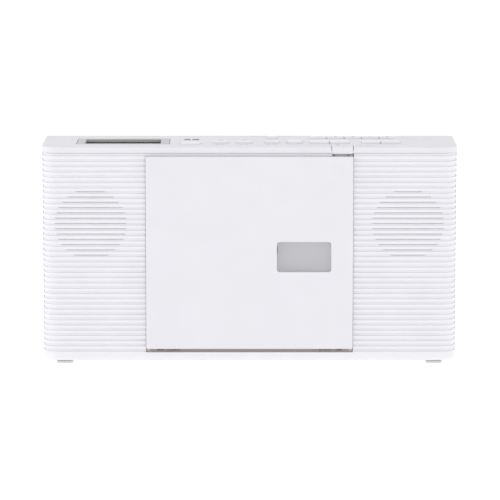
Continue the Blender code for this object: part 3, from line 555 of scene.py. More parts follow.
def turned(profile, segments=64):
    """A body turned about +Z. The profile lists radius and height; without an axis point it is a ring."""
    shape = bmesh.new()
    rows = []
    for radius, height in profile:
        on_axis = radius < 1e-6
        turns = [2 * math.pi * i / segments for i in range(1 if on_axis else segments)]
        row = [shape.verts.new((radius * math.cos(t), radius * math.sin(t), height)) for t in turns]
        rows.append(row * segments if on_axis else row)
    closes = all(radius > 1e-6 for radius, _ in profile)
    pairs = list(zip(rows, rows[1:])) + ([(rows[-1], rows[0])] if closes else [])
    for first, second in pairs:
        for i in range(segments):
            j = (i + 1) % segments
            corners = list(dict.fromkeys((first[i], first[j], second[j], second[i])))
            if len(corners) > 2:
                shape.faces.new(corners)
    return shape


def turned_back(profile, x, z, segments=64):
    """A turned body whose axis runs along Y through x and z, with its heights read as y."""
    return moved(turn_x(turned(profile, segments), -90), x=x, z=z)


def turned_up(profile, x, y, segments=64):
    return moved(turned(profile, segments), x=x, y=y)


def turned_across(profile, y, z, segments=48):
    """A turned body whose axis runs along X, with its heights read as x."""
    shape = turned(profile, segments)
    shape.transform(Matrix.Rotation(math.radians(90), 4, "Y"))
    return moved(shape, y=y, z=z)


def round_bar(radius, start, end):
    """The profile of a plain round bar or bore, for the turned shapes."""
    return [(0.0, start), (radius, start), (radius, end), (0.0, end)]


def rod(radius, start, end, ease=0.2):
    """The profile of a plain rod with eased ends."""
    return eased(round_bar(radius, start, end), ease)


def tube(points, radius, segments=10):
    """A round wire along a line of points, capped at both ends."""
    line = [Vector(point) for point in points]
    side = None
    rings = []
    for i, point in enumerate(line):
        ahead = (line[min(i + 1, len(line) - 1)] - line[max(i - 1, 0)]).normalized()
        if side is None:
            side = ahead.orthogonal().normalized()
        side = (side - ahead * side.dot(ahead)).normalized()
        other = ahead.cross(side)
        turns = [2 * math.pi * k / segments for k in range(segments)]
        rings.append([point + radius * (math.cos(t) * side + math.sin(t) * other) for t in turns])
    return loft(rings)


def joined(shapes):
    """One shape that holds every shape of the list, still as separate bodies."""
    whole = bmesh.new()
    for shape in shapes:
        shape.verts.index_update()
        vertices = [whole.verts.new(vertex.co) for vertex in shape.verts]
        for face in shape.faces:
            whole.faces.new([vertices[vertex.index] for vertex in face.verts])
        shape.free()
    return whole


def operand(shape):
    bmesh.ops.recalc_face_normals(shape, faces=shape.faces)
    mesh = bpy.data.meshes.new("operand")
    shape.to_mesh(mesh)
    shape.free()
    made = bpy.data.objects.new("operand", mesh)
    bpy.context.collection.objects.link(made)
    return made


def combined(base, operation, others):
    """The base after each of the other shapes has been added to it or removed from it."""
    target = operand(base)
    helpers = [operand(other) for other in others]
    for helper in helpers:
        modifier = target.modifiers.new(operation, "BOOLEAN")
        modifier.operation = operation
        modifier.solver = "EXACT"
        modifier.object = helper
    bpy.context.view_layer.update()
    evaluated = target.evaluated_get(bpy.context.evaluated_depsgraph_get())
    result = bmesh.new()
    result.from_mesh(evaluated.to_mesh())
    evaluated.to_mesh_clear()
    for item in [target, *helpers]:
        bpy.data.objects.remove(item, do_unlink=True)
    return result


def cut(base, *others):
    return combined(base, "DIFFERENCE", others)


def fused(base, *others):
    return combined(base, "UNION", others)


def piece(name, shape, surface, body="cabinet", stands_for=(), sharp=32.0):
    """Makes a visible piece of the shape, on its body, in place of the named CAD nodes."""
    bmesh.ops.dissolve_degenerate(shape, dist=1e-4, edges=shape.edges)
    bmesh.ops.recalc_face_normals(shape, faces=shape.faces)
    shape.transform(Matrix.Scale(MM, 4))
    mesh = bpy.data.meshes.new(name)
    shape.to_mesh(mesh)
    shape.free()
    mesh.materials.append(surface.material)
    mesh.shade_smooth()
    mesh.set_sharp_from_angle(angle=math.radians(sharp))
    made = bpy.data.objects.new(name, mesh)
    bpy.context.collection.objects.link(made)
    normals = made.modifiers.new("flat_faces_stay_flat", "WEIGHTED_NORMAL")
    normals.keep_sharp = True
    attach(made, body)
    if stands_for:
        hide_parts(*stands_for)
    return made


# ---------------------------------------------------------------- cabinet
def half_plan(inset, rim, face, radius, side, steps=14):
    """Half of the cabinet's plan, from its rim round both corners.

    Side is -1 for the front and 1 for the rear.
    """
    half = spans("front_cabinet")[0][1]
    centre = face - side * radius
    right = arc((half - radius, centre), radius - inset, 0, 90 * side, steps)
    left = [(-x, y) for x, y in reversed(right)]
    return [(half - inset, rim), *right, *left, (-half + inset, rim)]


def half_shell(rim, face, radius, side, levels, wall):
    """A cabinet half: an open box with a floor, its outside following the levels of height and inset."""
    shape = bmesh.new()

    def ring(height, inset):
        points = half_plan(inset, rim, face, radius, side)
        return [shape.verts.new((x, y, height)) for x, y in points]

    floor_top = levels[0][0] + WALL - 0.4
    outer = [ring(height, inset) for height, inset in levels]
    inner = [ring(height, wall) for height in (floor_top, levels[-1][0])]
    for rows in (outer, inner):
        for lower, upper in zip(rows, rows[1:]):
            for i in range(len(lower) - 1):
                shape.faces.new((lower[i], lower[i + 1], upper[i + 1], upper[i]))
    shape.faces.new(outer[0])
    shape.faces.new(inner[0])
    shape.faces.new(outer[-1] + inner[-1][::-1])
    right_edge = [row[0] for row in outer]
    left_edge = [row[-1] for row in outer]
    inner_edge = [inner[1][-1], inner[0][-1], inner[0][0], inner[1][0]]
    shape.faces.new(right_edge[::-1] + left_edge + inner_edge)
    return shape


def fillet_levels(bottom, steps=8):
    return rounded_levels(bottom, bottom + 2 * BOTTOM_FILLET, BOTTOM_FILLET, 0.0, steps)[:-1]


def groove_centre(index):
    return TOP_GROOVE_CENTRE - RIB_PITCH * index


def rib_levels(bottom, top):
    """Heights and insets of the ribbed front, with eased ribs and soft groove floors."""
    line = []
    for index in reversed(range(GROOVE_COUNT)):
        low = groove_centre(index) - GROOVE_HALF
        high = low + 2 * GROOVE_HALF
        line += [(low, 0.0), (low, GROOVE_DEPTH), (high, GROOVE_DEPTH), (high, 0.0)]
    line += [(WIDE_GROOVE_BOTTOM, 0.0), (WIDE_GROOVE_BOTTOM, GROOVE_DEPTH), (top, GROOVE_DEPTH)]
    levels = fillet_levels(bottom)
    for i, corner in enumerate(line[:-1]):
        before = line[i - 1] if i else (levels[-1][0], 0.0)
        ease = CREST_ROUND if corner[1] == 0.0 else FLOOR_ROUND
        levels += eased([before, corner, line[i + 1]], ease, 3)[1:-1]
    return levels + [line[-1]]


def grille_slits(side):
    """The slits of one grille: one at the top of each groove that crosses the grille's circle."""
    cone_x, _, cone_z = spans("speaker_cone_right")
    centre_x, centre_z = side * sum(cone_x) / 2, sum(cone_z) / 2
    slits = []
    for index in range(GRILLE_FIRST, GRILLE_LAST + 1):
        z = groove_centre(index)
        reach = math.sqrt(GRILLE_RADIUS**2 - (z - centre_z) ** 2)
        x = around(centre_x, reach)
        span_z = (z, z + SLIT_HEIGHT)
        slits.append(
            front_hole(x, span_z, back(0.6), GRILLE_BOSS_DEPTH, SLIT_HEIGHT / 2 - 0.02, 0.02, 4)
        )
    return slits


def cloth_strips(side):
    """What shows of the grille cloth: one strip in each slit, a little way in."""
    cone_x, _, cone_z = spans("speaker_cone_right")
    centre_x, centre_z = side * sum(cone_x) / 2, sum(cone_z) / 2
    strips = []
    for index in range(GRILLE_FIRST, GRILLE_LAST + 1):
        z = groove_centre(index)
        reach = math.sqrt(GRILLE_RADIUS**2 - (z - centre_z) ** 2) - 0.1
        x = around(centre_x, reach)
        span_z = (z + 0.02, z + SLIT_HEIGHT - 0.02)
        strips.append(front_slab(x, CLOTH_DEPTHS, span_z, 0.3, 0.05, 0.1, 3))
    return strips


def both_sides(x):
    return (x, (-x[1], -x[0]))


def sill_slots():
    """Cutters for the slots in the shelf, through which the door's arms and springs pass."""
    depths = [back(depth) for depth in SLOT_DEPTHS]
    spans_x = (*both_sides(ARM_SLOT_X), *both_sides(SPRING_SLOT_X))
    return [slab(span, depths, (5.5, 10.0), 0.8, 0.0, 0.0, 4) for span in spans_x]


def make_front_shell(surfaces):
    (_, _), (front, _), (bottom, top) = spans("front_cabinet")
    rim = spans("rear_cabinet")[1][0] - PARTING_GAP
    shell = half_shell(rim, front, FRONT_CORNER, -1, rib_levels(bottom, top), FRONT_INNER)
    shelf_x = (-REBATE_HALF - 2.4, REBATE_HALF + 2.4)
    shelf_y = [back(depth) for depth in SHELF_DEPTHS]
    shelf = slab(shelf_x, shelf_y, (SHELF_BOTTOM, SHELF_TOP - 0.1), 1.0)
    bosses = []
    boss_y = [back(depth) for depth in PIN_BOSS_DEPTHS]
    for span in (*both_sides(PIN_BOSS_X[0]), *both_sides(PIN_BOSS_X[1])):
        bosses.append(slab(span, boss_y, (4.1, 7.0), 0.6, 0.0, 0.0, 3))
    rebate = front_hole(
        (-REBATE_HALF, REBATE_HALF), (SHELF_TOP, 170.0), back(-3.0), 3.0 + REBATE_DEPTH, 0.05
    )
    opening_z = (SHELF_TOP - 2.0, OPENING_TOP)
    opening = front_hole((-OPENING_HALF, OPENING_HALF), opening_z, back(REBATE_DEPTH), 8.0, 1.2)
    above_shelf = slab((-200.0, 200.0), (back(-9.0), back(30.0)), (SHELF_TOP, 180.0), 0.1, 0.0, 0.0, 2)
    opening = combined(opening, "INTERSECT", [above_shelf])
    wall_depths = (back(-4.0), back(9.0))
    foot = slab((-REBATE_HALF, REBATE_HALF), wall_depths, (SHELF_TOP, OPENING_FOOT), 0.1, 0.0, 0.0, 2)
    latch_x = (spans("open_key")[0][0], REBATE_HALF)
    latch = slab(latch_x, wall_depths, (LATCH_NOTCH_BOTTOM, 170.0), 0.1, 0.0, 0.0, 2)
    boss_ends = (back(FRONT_INNER - 0.2), back(GRILLE_BOSS_DEPTH))
    grilles = []
    for node in ("speaker_left", "speaker_right"):
        x, _, z = centre_of(node)
        grilles.append(turned_back(rod(GRILLE_BOSS_RADIUS, *boss_ends, 0.05), x, z, 72))
    slots = sill_slots()
    bores = []
    for node in ("hinge_pin_left", "hinge_pin_right"):
        x, _, z = spans(node)
        bore = rod((z[1] - z[0]) / 2 + 0.25, x[0] - 0.3, x[1] + 0.3, 0.05)
        bores.append(turned_across(bore, *PIVOT, 24))
    shell = fused(shell, shelf, joined(bosses), joined(grilles))
    slits = joined(grille_slits(-1) + grille_slits(1))
    shell = cut(shell, rebate, opening, foot, latch, joined(slots), joined(bores), slits)
    # The front shell takes the lighter copy of the white, which is painted light.
    piece("front_shell", shell, surfaces["lit_front_white"], stands_for=["front_cabinet"])
    cloth = joined(cloth_strips(-1) + cloth_strips(1))
    piece("grille_cloth", cloth, surfaces["cloth"])
    # A thin sheet on the shelf's top, coloured with painted shade and given a painted glow, where the door
    # shades the white shelf.
    sill_shade_and_glow = slab((-75.1, 75.1), (back(3.1), back(15.9)), (SHELF_TOP - 0.3, SHELF_TOP), 0.6, 0.0, 0.1, 4)
    piece("door_sill_shade_sheet", cut(sill_shade_and_glow, joined(sill_slots())), surfaces["sill_shade_and_glow"])


def screw_nodes():
    return [f"cabinet_screw_{number}" for number in range(1, 5)]


def centre_of(node):
    return [sum(span) / 2 for span in spans(node)]


def make_rear_shell(surfaces):
    (_, _), (rim, face), (bottom, top) = spans("rear_cabinet")
    levels = fillet_levels(bottom) + [(top, 0.0)]
    shell = half_shell(rim, face, REAR_CORNER, 1, levels, WALL)
    panel_end = spans("top_panel")[1][1]
    ledge_plan = half_plan(1.0, panel_end - WALL, face, REAR_CORNER, 1)
    ledge = loft([[(x, y, z) for x, y in ledge_plan] for z in (143.3, top - 0.2)])
    places = [(centre_of(node)[0], centre_of(node)[2]) for node in screw_nodes()]
    bosses = [turned_back(round_bar(5.0, 24.0, face - 1.0), x, z, 32) for x, z in places]
    shell = fused(shell, ledge, joined(bosses))

    rebate_z = spans("antenna_swivel")[2][0] - PARTING_GAP
    rebate = slab((-160.0, 160.0), (panel_end, face + 6.0), (rebate_z, 170.0), 0.05, 0.0, 0.0, 2)
    holes = [turned_back(round_bar(1.8, 22.0, face + 1.0), x, z, 24) for x, z in places]
    heads = []
    for x, z in places:
        sink = [
            (0, face - 3.0), (3.8, face - 3.0), (3.8, face - 0.4), (4.6, face + 0.4), (0, face + 0.4)
        ]
        heads.append(turned_back(sink, x, z, 40))
    lid_x, _, lid_z = spans("battery_cover")
    battery = rear_hole(inside(lid_x, -0.3), inside(lid_z, -0.3), face, 4.0, 1.0)
    inlet_x, _, inlet_z = spans("mains_inlet")
    inlet = rear_hole(inside(inlet_x, -0.3), inside(inlet_z, -0.3), face, 4.0, 1.2)
    jacks = []
    for node in ("headphone_socket", "line_in_socket"):
        x, _, z = centre_of(node)
        sink = [
            (0, face - 4.0), (4.3, face - 4.0), (4.3, face - 0.3), (4.9, face + 0.3), (0, face + 0.3)
        ]
        jacks.append(turned_back(sink, x, z, 40))
    vents = []
    for node in ("speaker_left", "speaker_right"):
        x = centre_of(node)[0]
        for row in range(6):
            z = 86.0 + 6.0 * row
            vents.append(rear_hole(around(x, 20.0), (z, z + 2.0), face, 4.0, 0.98, 0.3, 5))
    rating = rear_hole((62.0, 92.0), (16.0, 34.0), face + 0.4, 0.8, 1.5, 0.1)
    shell = cut(
        shell, rebate, joined(
            holes
        ), joined(heads), battery, inlet, joined(jacks), joined(vents), rating
    )
    piece("rear_shell", shell, surfaces["white"], stands_for=["rear_cabinet"])


def key_outline(node, grow=0.0):
    """A row key's outline in plan without its flange, as a function of the inset."""
    x, y, _ = spans(node)
    return outline_maker(
        inside(x, -grow),
        (y[0] + FLANGE_REACH - grow, y[1] - FLANGE_REACH + grow),
        KEY_CORNER + grow,
        6,
    )


def row_hole(nodes):
    """The opening in the top panel that a row of keys shares, with a small chamfer round it."""
    first, last = spans(nodes[0]), spans(nodes[-1])
    outline = outline_maker(
        (first[0][0] - KEY_GAP, last[0][1] + KEY_GAP),
        (first[1][0] + FLANGE_REACH - KEY_GAP, first[1][1] - FLANGE_REACH + KEY_GAP),
        KEY_CORNER + KEY_GAP,
        6,
    )
    return flared(outline, 154.0, CABINET_TOP, 0.08)


def make_top_cover(surfaces):
    x, y, z = spans("top_panel")
    outline = outline_maker(x, y, FRONT_CORNER, 14, 3.0)
    cover = plate(outline, rounded_levels(z[0], z[1], 0.12, 0.45, 5))
    inside_x = inside(x, WALL)
    inside_y = inside(y, WALL)
    cavity = slab(inside_x, inside_y, (150.0, z[1] - 2.0), 8.8, 0.0, 0.0, 14)
    holes = [row_hole((node,)) for node in ROW_KEYS]
    holes += [row_hole(pair) for pair in PAIRED_KEYS]
    holes.append(row_hole(PRESET_KEYS))
    mode_x, mode_y, _ = spans("mode_key")
    mode_x = (mode_x[0] + FLANGE_REACH - 0.3, mode_x[1] - FLANGE_REACH + 0.3)
    mode_y = (mode_y[0] + FLANGE_REACH - 0.3, mode_y[1] - FLANGE_REACH + 0.3)
    mode_round = (mode_x[1] - mode_x[0]) / 2 - 0.02
    holes.append(flared(outline_maker(mode_x, mode_y, mode_round, 14), 154.0, z[1], 0.15))
    bezel_x, bezel_y, _ = spans("lcd_bezel")
    bezel_x = inside(bezel_x, -PARTING_GAP)
    bezel_y = inside(bezel_y, -PARTING_GAP)
    holes.append(flared(outline_maker(bezel_x, bezel_y, 1.3, 6), 154.0, z[1], 0.12))
    power_x, power_y, _ = centre_of("power_key")
    radius = (spans("power_key")[0][1] - spans("power_key")[0][0]) / 2 - FLANGE_REACH + PARTING_GAP
    sink = [
        (0, 154.0), (radius, 154.0), (radius, z[1] - 0.2), (radius + 0.4, z[1] + 0.2), (0, z[1] + 0.2)
    ]
    holes.append(turned_up(sink, power_x, power_y))
    key_x, key_y, _ = spans("open_key")
    notch_y = (key_y[0] - 2.0, key_y[1] + 0.4)
    notch = slab(inside(key_x, -0.1), notch_y, (150.0, 156.6), 0.1, 0.0, 0.0, 3)
    gap = slab(inside(key_x, -0.4), notch_y, (156.3, 165.0), 0.3, 0.0, 0.0, 3)
    cover = cut(cover, cavity, joined(holes), notch, gap)
    dot = eased([(0.9, z[1] - 0.2), (0.75, z[1] + 0.2), (0.0, z[1] + 0.45)], 0.3)
    bump = turned_up([(0.0, z[1] - 0.2), *dot], TOUCH_DOT[0], back(TOUCH_DOT[1]), 24)
    piece("top_cover", fused(cover, bump), surfaces["white"], stands_for=["top_panel"])


def make_feet(surfaces):
    for place in ("front_left", "front_right", "rear_left", "rear_right"):
        node = f"foot_{place}"
        x, y, z = spans(node)
        body = slab(x, y, z, 1.5, 0.5, 0.05, 8)
        sole = slab(inside(x, 2.2), inside(y, 2.2), (-1.0, 0.25), 1.0, 0.0, 0.0, 6)
        piece(f"{node}_pad", cut(body, sole), surfaces["rubber"], stands_for=[node])


def make_screws(surfaces):
    for node in screw_nodes():
        x, _, z = centre_of(node)
        start, end = spans(node)[1]
        head = end - 2.0
        profile = [
            (0.0, start), (0.5, start), (1.4, start + 1.6), (1.4, head), (3.2, head), (3.2, head + 0.9)
        ]
        profile += [(2.2, end - 0.15), (0.0, end)]
        screw = turned_back(eased(profile, 0.25), x, z, 40)
        across = slab(around(x, 1.9), around(z, 0.35), (end - 1.2, end + 1.0), 0.1, 0.3, 0.0, 2)
        upright = slab(around(x, 0.35), around(z, 1.9), (end - 1.2, end + 1.0), 0.1, 0.3, 0.0, 2)
        flip = Matrix(((1, 0, 0, 0), (0, 0, 1, 0), (0, 1, 0, 0), (0, 0, 0, 1)))
        for blade in (across, upright):
            blade.transform(flip)
        piece(f"{node}_crosshead", cut(screw, across, upright), surfaces["screw"], stands_for=[node])


# ---------------------------------------------------------------- keys
def key_body(node):
    return f"{node}_body"


def make_row_key(node, surface, crown):
    """A key cap with a flange below the panel, eased edges and a slightly hollow top."""
    x, y, z = spans(node)
    shaft = key_outline(node)
    flange = outline_maker(x, y, KEY_CORNER, 6)
    low, high = KEY_FLANGE
    rings = [[(px, py, level) for px, py in flange(0.0)] for level in (low, high)]
    levels = [(high, 0.0)] + rounded_levels(high + 0.5, z[1], 0.0, 0.45, 5)
    levels += [(z[1] - crown * 0.5, 1.1), (z[1] - crown * 0.85, 1.8), (z[1] - crown, 2.6)]
    rings += [[(px, py, level) for px, py in shaft(inset)] for level, inset in levels]
    piece(f"{node}_cap", loft(rings), surface, key_body(node), [node])


def seven_segments(digit, x, y, z, height, weight):
    """The bars of a seven-segment numeral, flat on a surface, read from the front."""
    lit = {1: "bc", 2: "abged", 3: "abgcd", 4: "fgbc", 5: "afgcd", 8: "abcdefg"}[digit]
    half_width, half = height * 0.27, height / 2
    bars = {
        "a": (0.0, half, True),
        "g": (0.0, 0.0, True),
        "d": (0.0, -half, True),
        "f": (-half_width, half / 2, False),
        "b": (half_width, half / 2, False),
        "e": (-half_width, -half / 2, False),
        "c": (half_width, -half / 2, False),
    }
    shapes = []
    for name in lit:
        across, up, lies = bars[name]
        reach = (half_width if lies else half / 2) - weight * 0.55
        size = (reach, weight / 2) if lies else (weight / 2, reach)
        span_x = (x + across - size[0], x + across + size[0])
        span_y = (y + up - size[1], y + up + size[1])
        shapes.append(slab(span_x, span_y, z, weight * 0.3, 0.0, 0.0, 2))
    return shapes


def make_keys(surfaces):
    crown = 0.16
    for node in (*ROW_KEYS, *PAIRED_KEYS[0], *PAIRED_KEYS[1], *PRESET_KEYS):
        make_row_key(node, surfaces["key_white"], crown)
    for number, node in enumerate(PRESET_KEYS, 1):
        x, y, _ = centre_of(node)
        top = spans(node)[2][1] - crown
        numeral = joined(seven_segments(number, x, y, (top - 0.05, top + 0.04), 3.0, 0.5))
        piece(f"{node}_numeral", numeral, surfaces["ink"], key_body(node))

    x, y, z = spans("mode_key")
    half = (x[1] - x[0]) / 2
    flange = outline_maker(x, y, half - 0.02, 16)
    shaft = outline_maker(
        inside(x, FLANGE_REACH),
        inside(y, FLANGE_REACH),
        half - FLANGE_REACH - 0.02,
        16,
    )
    low, high = KEY_FLANGE
    rings = [[(px, py, level) for px, py in flange(0.0)] for level in (low, high)]
    levels = [(high, 0.0), (z[1] - 0.9, 0.0)]
    for i in range(1, 9):
        turn = math.pi / 2 * i / 8
        levels.append((z[1] - 0.9 * (1 - math.sin(turn)), 3.6 * (1 - math.cos(turn))))
    rings += [[(px, py, level) for px, py in shaft(inset)] for level, inset in levels]
    piece("mode_key_dome", loft(rings), surfaces["key_white"], key_body("mode_key"), ["mode_key"])

    x, y, z = spans("power_key")
    radius = (x[1] - x[0]) / 2
    shoulder = radius - FLANGE_REACH
    top = z[1] - 0.35
    profile = [(0.0, low), (radius, low), (radius, high), (shoulder, high), (shoulder, CABINET_TOP)]
    for i in range(1, 11):
        turn = math.pi / 2 * i / 10
        height = CABINET_TOP + (top - CABINET_TOP) * math.sin(turn)
        profile.append((1.6 + (shoulder - 1.6) * math.cos(turn), height))
    profile += [(1.0, top), (0.95, top + 0.18), (0.6, z[1] - 0.03), (0.0, z[1])]
    dome = turned_up(profile, sum(x) / 2, sum(y) / 2, 72)
    piece("power_key_dome", dome, surfaces["key_white"], key_body("power_key"), ["power_key"])


def make_open_key(surfaces):
    x, y, z = spans("open_key")
    front, rear = y
    outline = [
        (front, 153.9), (front + 2.0, 153.9), (front + 2.0, 155.9), (rear, 155.9), (rear, z[1]),
        (front, z[1])
    ]
    outline = eased_loop(outline, 0.35, 4)
    edges = rounded_levels(x[0], x[1], 0.2, 0.2, 3)
    rings = [[(level, py, pz) for py, pz in shrunk(outline, inset)] for level, inset in edges]
    legs = []
    for span in ((59.8, 61.6), (70.4, 72.2)):
        legs.append(slab(span, (back(5.0), back(7.0)), (z[0], 156.8), 0.4, 0.0, 0.0, 4))
    bar = slab((60.6, 71.4), (back(5.2), back(6.8)), (z[0], z[0] + 2.0), 0.4, 0.0, 0.0, 4)
    key = fused(loft(rings), joined(legs), bar)
    grip = []
    for row in range(3):
        line_y = front + 3.4 + 2.2 * row
        grip.append(
            slab(inside(x, 2.6), around(line_y, 0.25), (z[1] - 0.25, z[1] + 1.0), 0.2, 0.0, 0.0, 3)
        )
    piece(
        "open_key_button", cut(key, joined(grip)), surfaces["smooth_white"], "opening_button",
        ["open_key"]
    )


# ---------------------------------------------------------------- display and printed marks
def make_display(surfaces):
    x, y, z = spans("lcd_bezel")
    lens_x, lens_y, lens_z = spans("lcd_lens")
    bezel = slab(x, y, z, 1.0, 0.1, 0.2, 6)
    opening = outline_maker(inside(lens_x, -0.3), inside(lens_y, -0.3), 0.5, 4)
    piece(
        "lcd_surround", cut(bezel, flared(opening, 150.0, z[1], 0.35)), surfaces["grey"],
        stands_for=["lcd_bezel"]
    )
    lens_z = (lens_z[0], lens_z[1] - LENS_DROP)
    lens = slab(lens_x, lens_y, lens_z, 0.4, 0.05, 0.1, 4)
    piece("lcd_window", lens, surfaces["lcd"], stands_for=["lcd_lens"])
    x, y, z = spans("lcd_panel")
    piece(
        "lcd_glass_plate", slab(x, y, (z[0], z[1] - 0.03), 0.4, 0.1, 0.1, 4), surfaces["lcd"],
        stands_for=["lcd_panel"]
    )
    centre_x, centre_y, _ = centre_of("lcd_panel")
    ghost_z = (lens_z[1] - 0.04, lens_z[1] + 0.01)
    ghost = []
    for place in (-16.5, -6.5, 6.5, 16.5):
        ghost += seven_segments(8, centre_x + place, centre_y, ghost_z, 13.0, 1.7)
    for rise in (-2.6, 2.6):
        dot = round_bar(0.8, ghost_z[0], ghost_z[1])
        ghost.append(turned_up(dot, centre_x, centre_y + rise, 20))
    piece("lcd_segments", joined(ghost), surfaces["segment"])


def triangle_mark(x, y, size, way, z):
    points = [
        (x - way * size / 2, y - size / 2), (x + way * size / 2, y), (x - way * size / 2, y + size / 2)
    ]
    rounded = eased_loop(points, size * 0.08, 2)
    return loft([[(px, py, level) for px, py in rounded] for level in z])


def dash_mark(x, y, width, z, depth=0.7):
    return slab(
        (x - width / 2, x + width / 2), (y - depth / 2, y + depth / 2), z, depth * 0.3, 0.0, 0.0, 2
    )


def ring_mark(x, y, radius, weight, z):
    profile = [(radius - weight, z[0]), (radius, z[0]), (radius, z[1]), (radius - weight, z[1])]
    return turned_up(profile, x, y, 28)


def make_marks(surfaces):
    """Printed signs on the top panel: plain shapes beside the keys, with no words."""
    ink_z = (CABINET_TOP - 0.05, CABINET_TOP + 0.02)
    shapes = []
    behind, ahead = back(MARKS_BEHIND_KEYS), back(MARKS_AHEAD_OF_KEYS)
    for node, width in (("timer_key", 7.0), ("sleep_key", 7.4), ("memory_key", 8.0)):
        x = centre_of(node)[0]
        shapes.append(dash_mark(x - width * 0.27, ahead, width * 0.42, ink_z, 1.1))
        shapes.append(dash_mark(x + width * 0.27, ahead, width * 0.42, ink_z, 1.1))
    timer, sleep = centre_of("timer_key")[0], centre_of("sleep_key")[0]
    shapes.append(ring_mark(timer, behind, 1.5, 0.3, ink_z))
    shapes.append(dash_mark(timer + 0.35, behind, 1.0, ink_z, 0.3))
    shapes.append(dash_mark(sleep, behind - 0.8, 2.6, ink_z, 0.5))
    shapes.append(dash_mark(sleep, behind + 0.8, 2.6, ink_z, 0.5))
    shapes.append(dash_mark(centre_of("mode_key")[0], behind + 2.0, 4.6, ink_z, 0.7))
    for node, way in (("skip_back_key", -1), ("skip_forward_key", 1)):
        x = centre_of(node)[0]
        for shift in (-1.1, 1.1):
            shapes.append(triangle_mark(x + shift, behind - 1.0, 2.2, way, ink_z))
    for node in ("volume_down_key", "volume_up_key"):
        x = centre_of(node)[0]
        shapes.append(dash_mark(x, behind - 1.0, 2.4, ink_z, 0.5))
        if node == "volume_up_key":
            for shift in (-0.75, 0.75):
                bar = slab(
                    around(x, 0.25), (behind - 1.0 + shift - 0.5, behind - 1.0 + shift + 0.5),
                    ink_z, 0.1, 0.0, 0.0, 2
                )
                shapes.append(bar)
    shapes.append(triangle_mark(58.5, ahead + 0.6, 2.4, 1, ink_z))
    shapes.append(slab((63.0, 65.2), (ahead - 0.5, ahead + 1.7), ink_z, 0.2, 0.0, 0.0, 2))
    shapes.append(dash_mark(79.0, back(6.4), 4.6, ink_z, 1.0))
    shapes.append(dash_mark(85.2, back(6.4), 5.6, ink_z, 1.0))
    for x, width in ((3.4, 5.8), (11.0, 6.2), (20.0, 6.6), (28.6, 7.4)):
        shapes.append(dash_mark(x, back(61.8), width, ink_z, 0.9))
    for x, width in ((113.2, 7.6), (121.6, 5.4), (129.6, 7.0)):
        shapes.append(dash_mark(x, back(47.2), width, ink_z, 0.9))
    piece("panel_marks", joined(shapes), surfaces["ink"])
    power_x = centre_of("power_key")[0]
    bars = []
    for span in ((power_x - 5.0, power_x - 0.5), (power_x + 0.9, power_x + 5.8)):
        bars.append(slab(span, (back(38.5), back(44.5)), ink_z, 0.8, 0.0, 0.0, 4))
    piece("power_marks", joined(bars), surfaces["blue_ink"])


# ---------------------------------------------------------------- door
def door_arm_outline():
    """A hinge arm in side view: forward to the door, down behind the shelf's edge, round the pin."""
    eye = arc(PIVOT, 2.0, 0, -270, 20)
    start = [(back(0.0), 17.5), (back(0.0), 21.0), (back(13.2), 21.0), (back(13.2), PIVOT[1])]
    return start + eye + [(back(10.2), 8.3), (back(10.2), 17.5)]


def make_door(surfaces):
    x, (front, _), (_, top) = spans("cd_door")
    face = front + 0.15
    inner = back(0.5)
    panel = front_slab(x, (face, inner), (DOOR_BOTTOM, top), 1.0, 0.1, 0.35, 6)
    arms = joined([prism_across(door_arm_outline(), span) for span in both_sides(DOOR_ARM_X)])
    hook = slab((62.2, 69.8), (back(0.0), back(9.0)), (148.6, 150.1), 0.3, 0.0, 0.2, 4)
    tooth = slab((62.4, 69.6), (back(7.5), back(8.9)), (147.5, 149.2), 0.4, 0.3, 0.0, 4)
    outer_ring = front_slab((-69.0, 69.0), (inner - 0.2, back(1.3)), (24.0, 146.0), 2.0, 0.2, 0.0)
    inner_ring = front_slab((-67.6, 67.6), (inner - 0.4, back(2.0)), (25.4, 144.6), 1.5, 0.0, 0.0)
    stiffener = cut(outer_ring, inner_ring)
    door = fused(panel, arms, hook, tooth, stiffener)
    bore = turned_across(rod(1.3, -63.0, 63.0, 0.05), *PIVOT, 24)
    window = front_hole(WINDOW_X, WINDOW_Z, face, 4.0, WINDOW_CORNER, 0.3, 8)
    door = cut(door, bore, window)
    dots = []
    for column in range(3):
        for row in range(3):
            dome = [(0.0, -face - 0.2), (0.7, -face - 0.2), (0.7, -face + 0.08)]
            dome += [(0.62, -face + 0.13), (0.5, -front), (0.0, -front)]
            dot = turned(dome, 16)
            dot_x, dot_z = DOT_CORNER[0] + DOT_PITCH * column, DOT_CORNER[1] + DOT_PITCH * row
            dots.append(turn_x(moved(dot, x=dot_x, y=dot_z), 90))
    piece("door_panel", fused(door, joined(dots)), surfaces["smooth_white"], "door", ["cd_door"])

    x, y, z = spans("door_window")
    pane = front_slab(x, (y[0] - 0.25, y[1]), z, 1.0, 0.1, 0.1, 6)
    piece("door_window_pane", pane, surfaces["clear"], "door", ["door_window"])


def make_hinges(surfaces):
    for side in ("left", "right"):
        x, _, z = spans(f"hinge_pin_{side}")
        radius = (z[1] - z[0]) / 2
        pin = turned_across(rod(radius, x[0], x[1], 0.3), *PIVOT, 32)
        piece(f"hinge_pin_{side}_steel", pin, surfaces["steel"], stands_for=[f"hinge_pin_{side}"])
        x, _, z = spans(f"door_spring_{side}")
        radius = (z[1] - z[0]) / 2 - SPRING_WIRE
        reach = x[1] - x[0] - 2 * SPRING_WIRE
        line = []
        for i in range(SPRING_STEPS + 1):
            share = i / SPRING_STEPS
            turn = 2 * math.pi * SPRING_TURNS * i / SPRING_STEPS
            along = x[0] + SPRING_WIRE + reach * share
            line.append((along, PIVOT[0] + radius * math.cos(turn), PIVOT[1] + radius * math.sin(turn)))
        piece(
            f"door_spring_{side}_coil", tube(line, SPRING_WIRE), surfaces["steel"],
            stands_for=[f"door_spring_{side}"]
        )


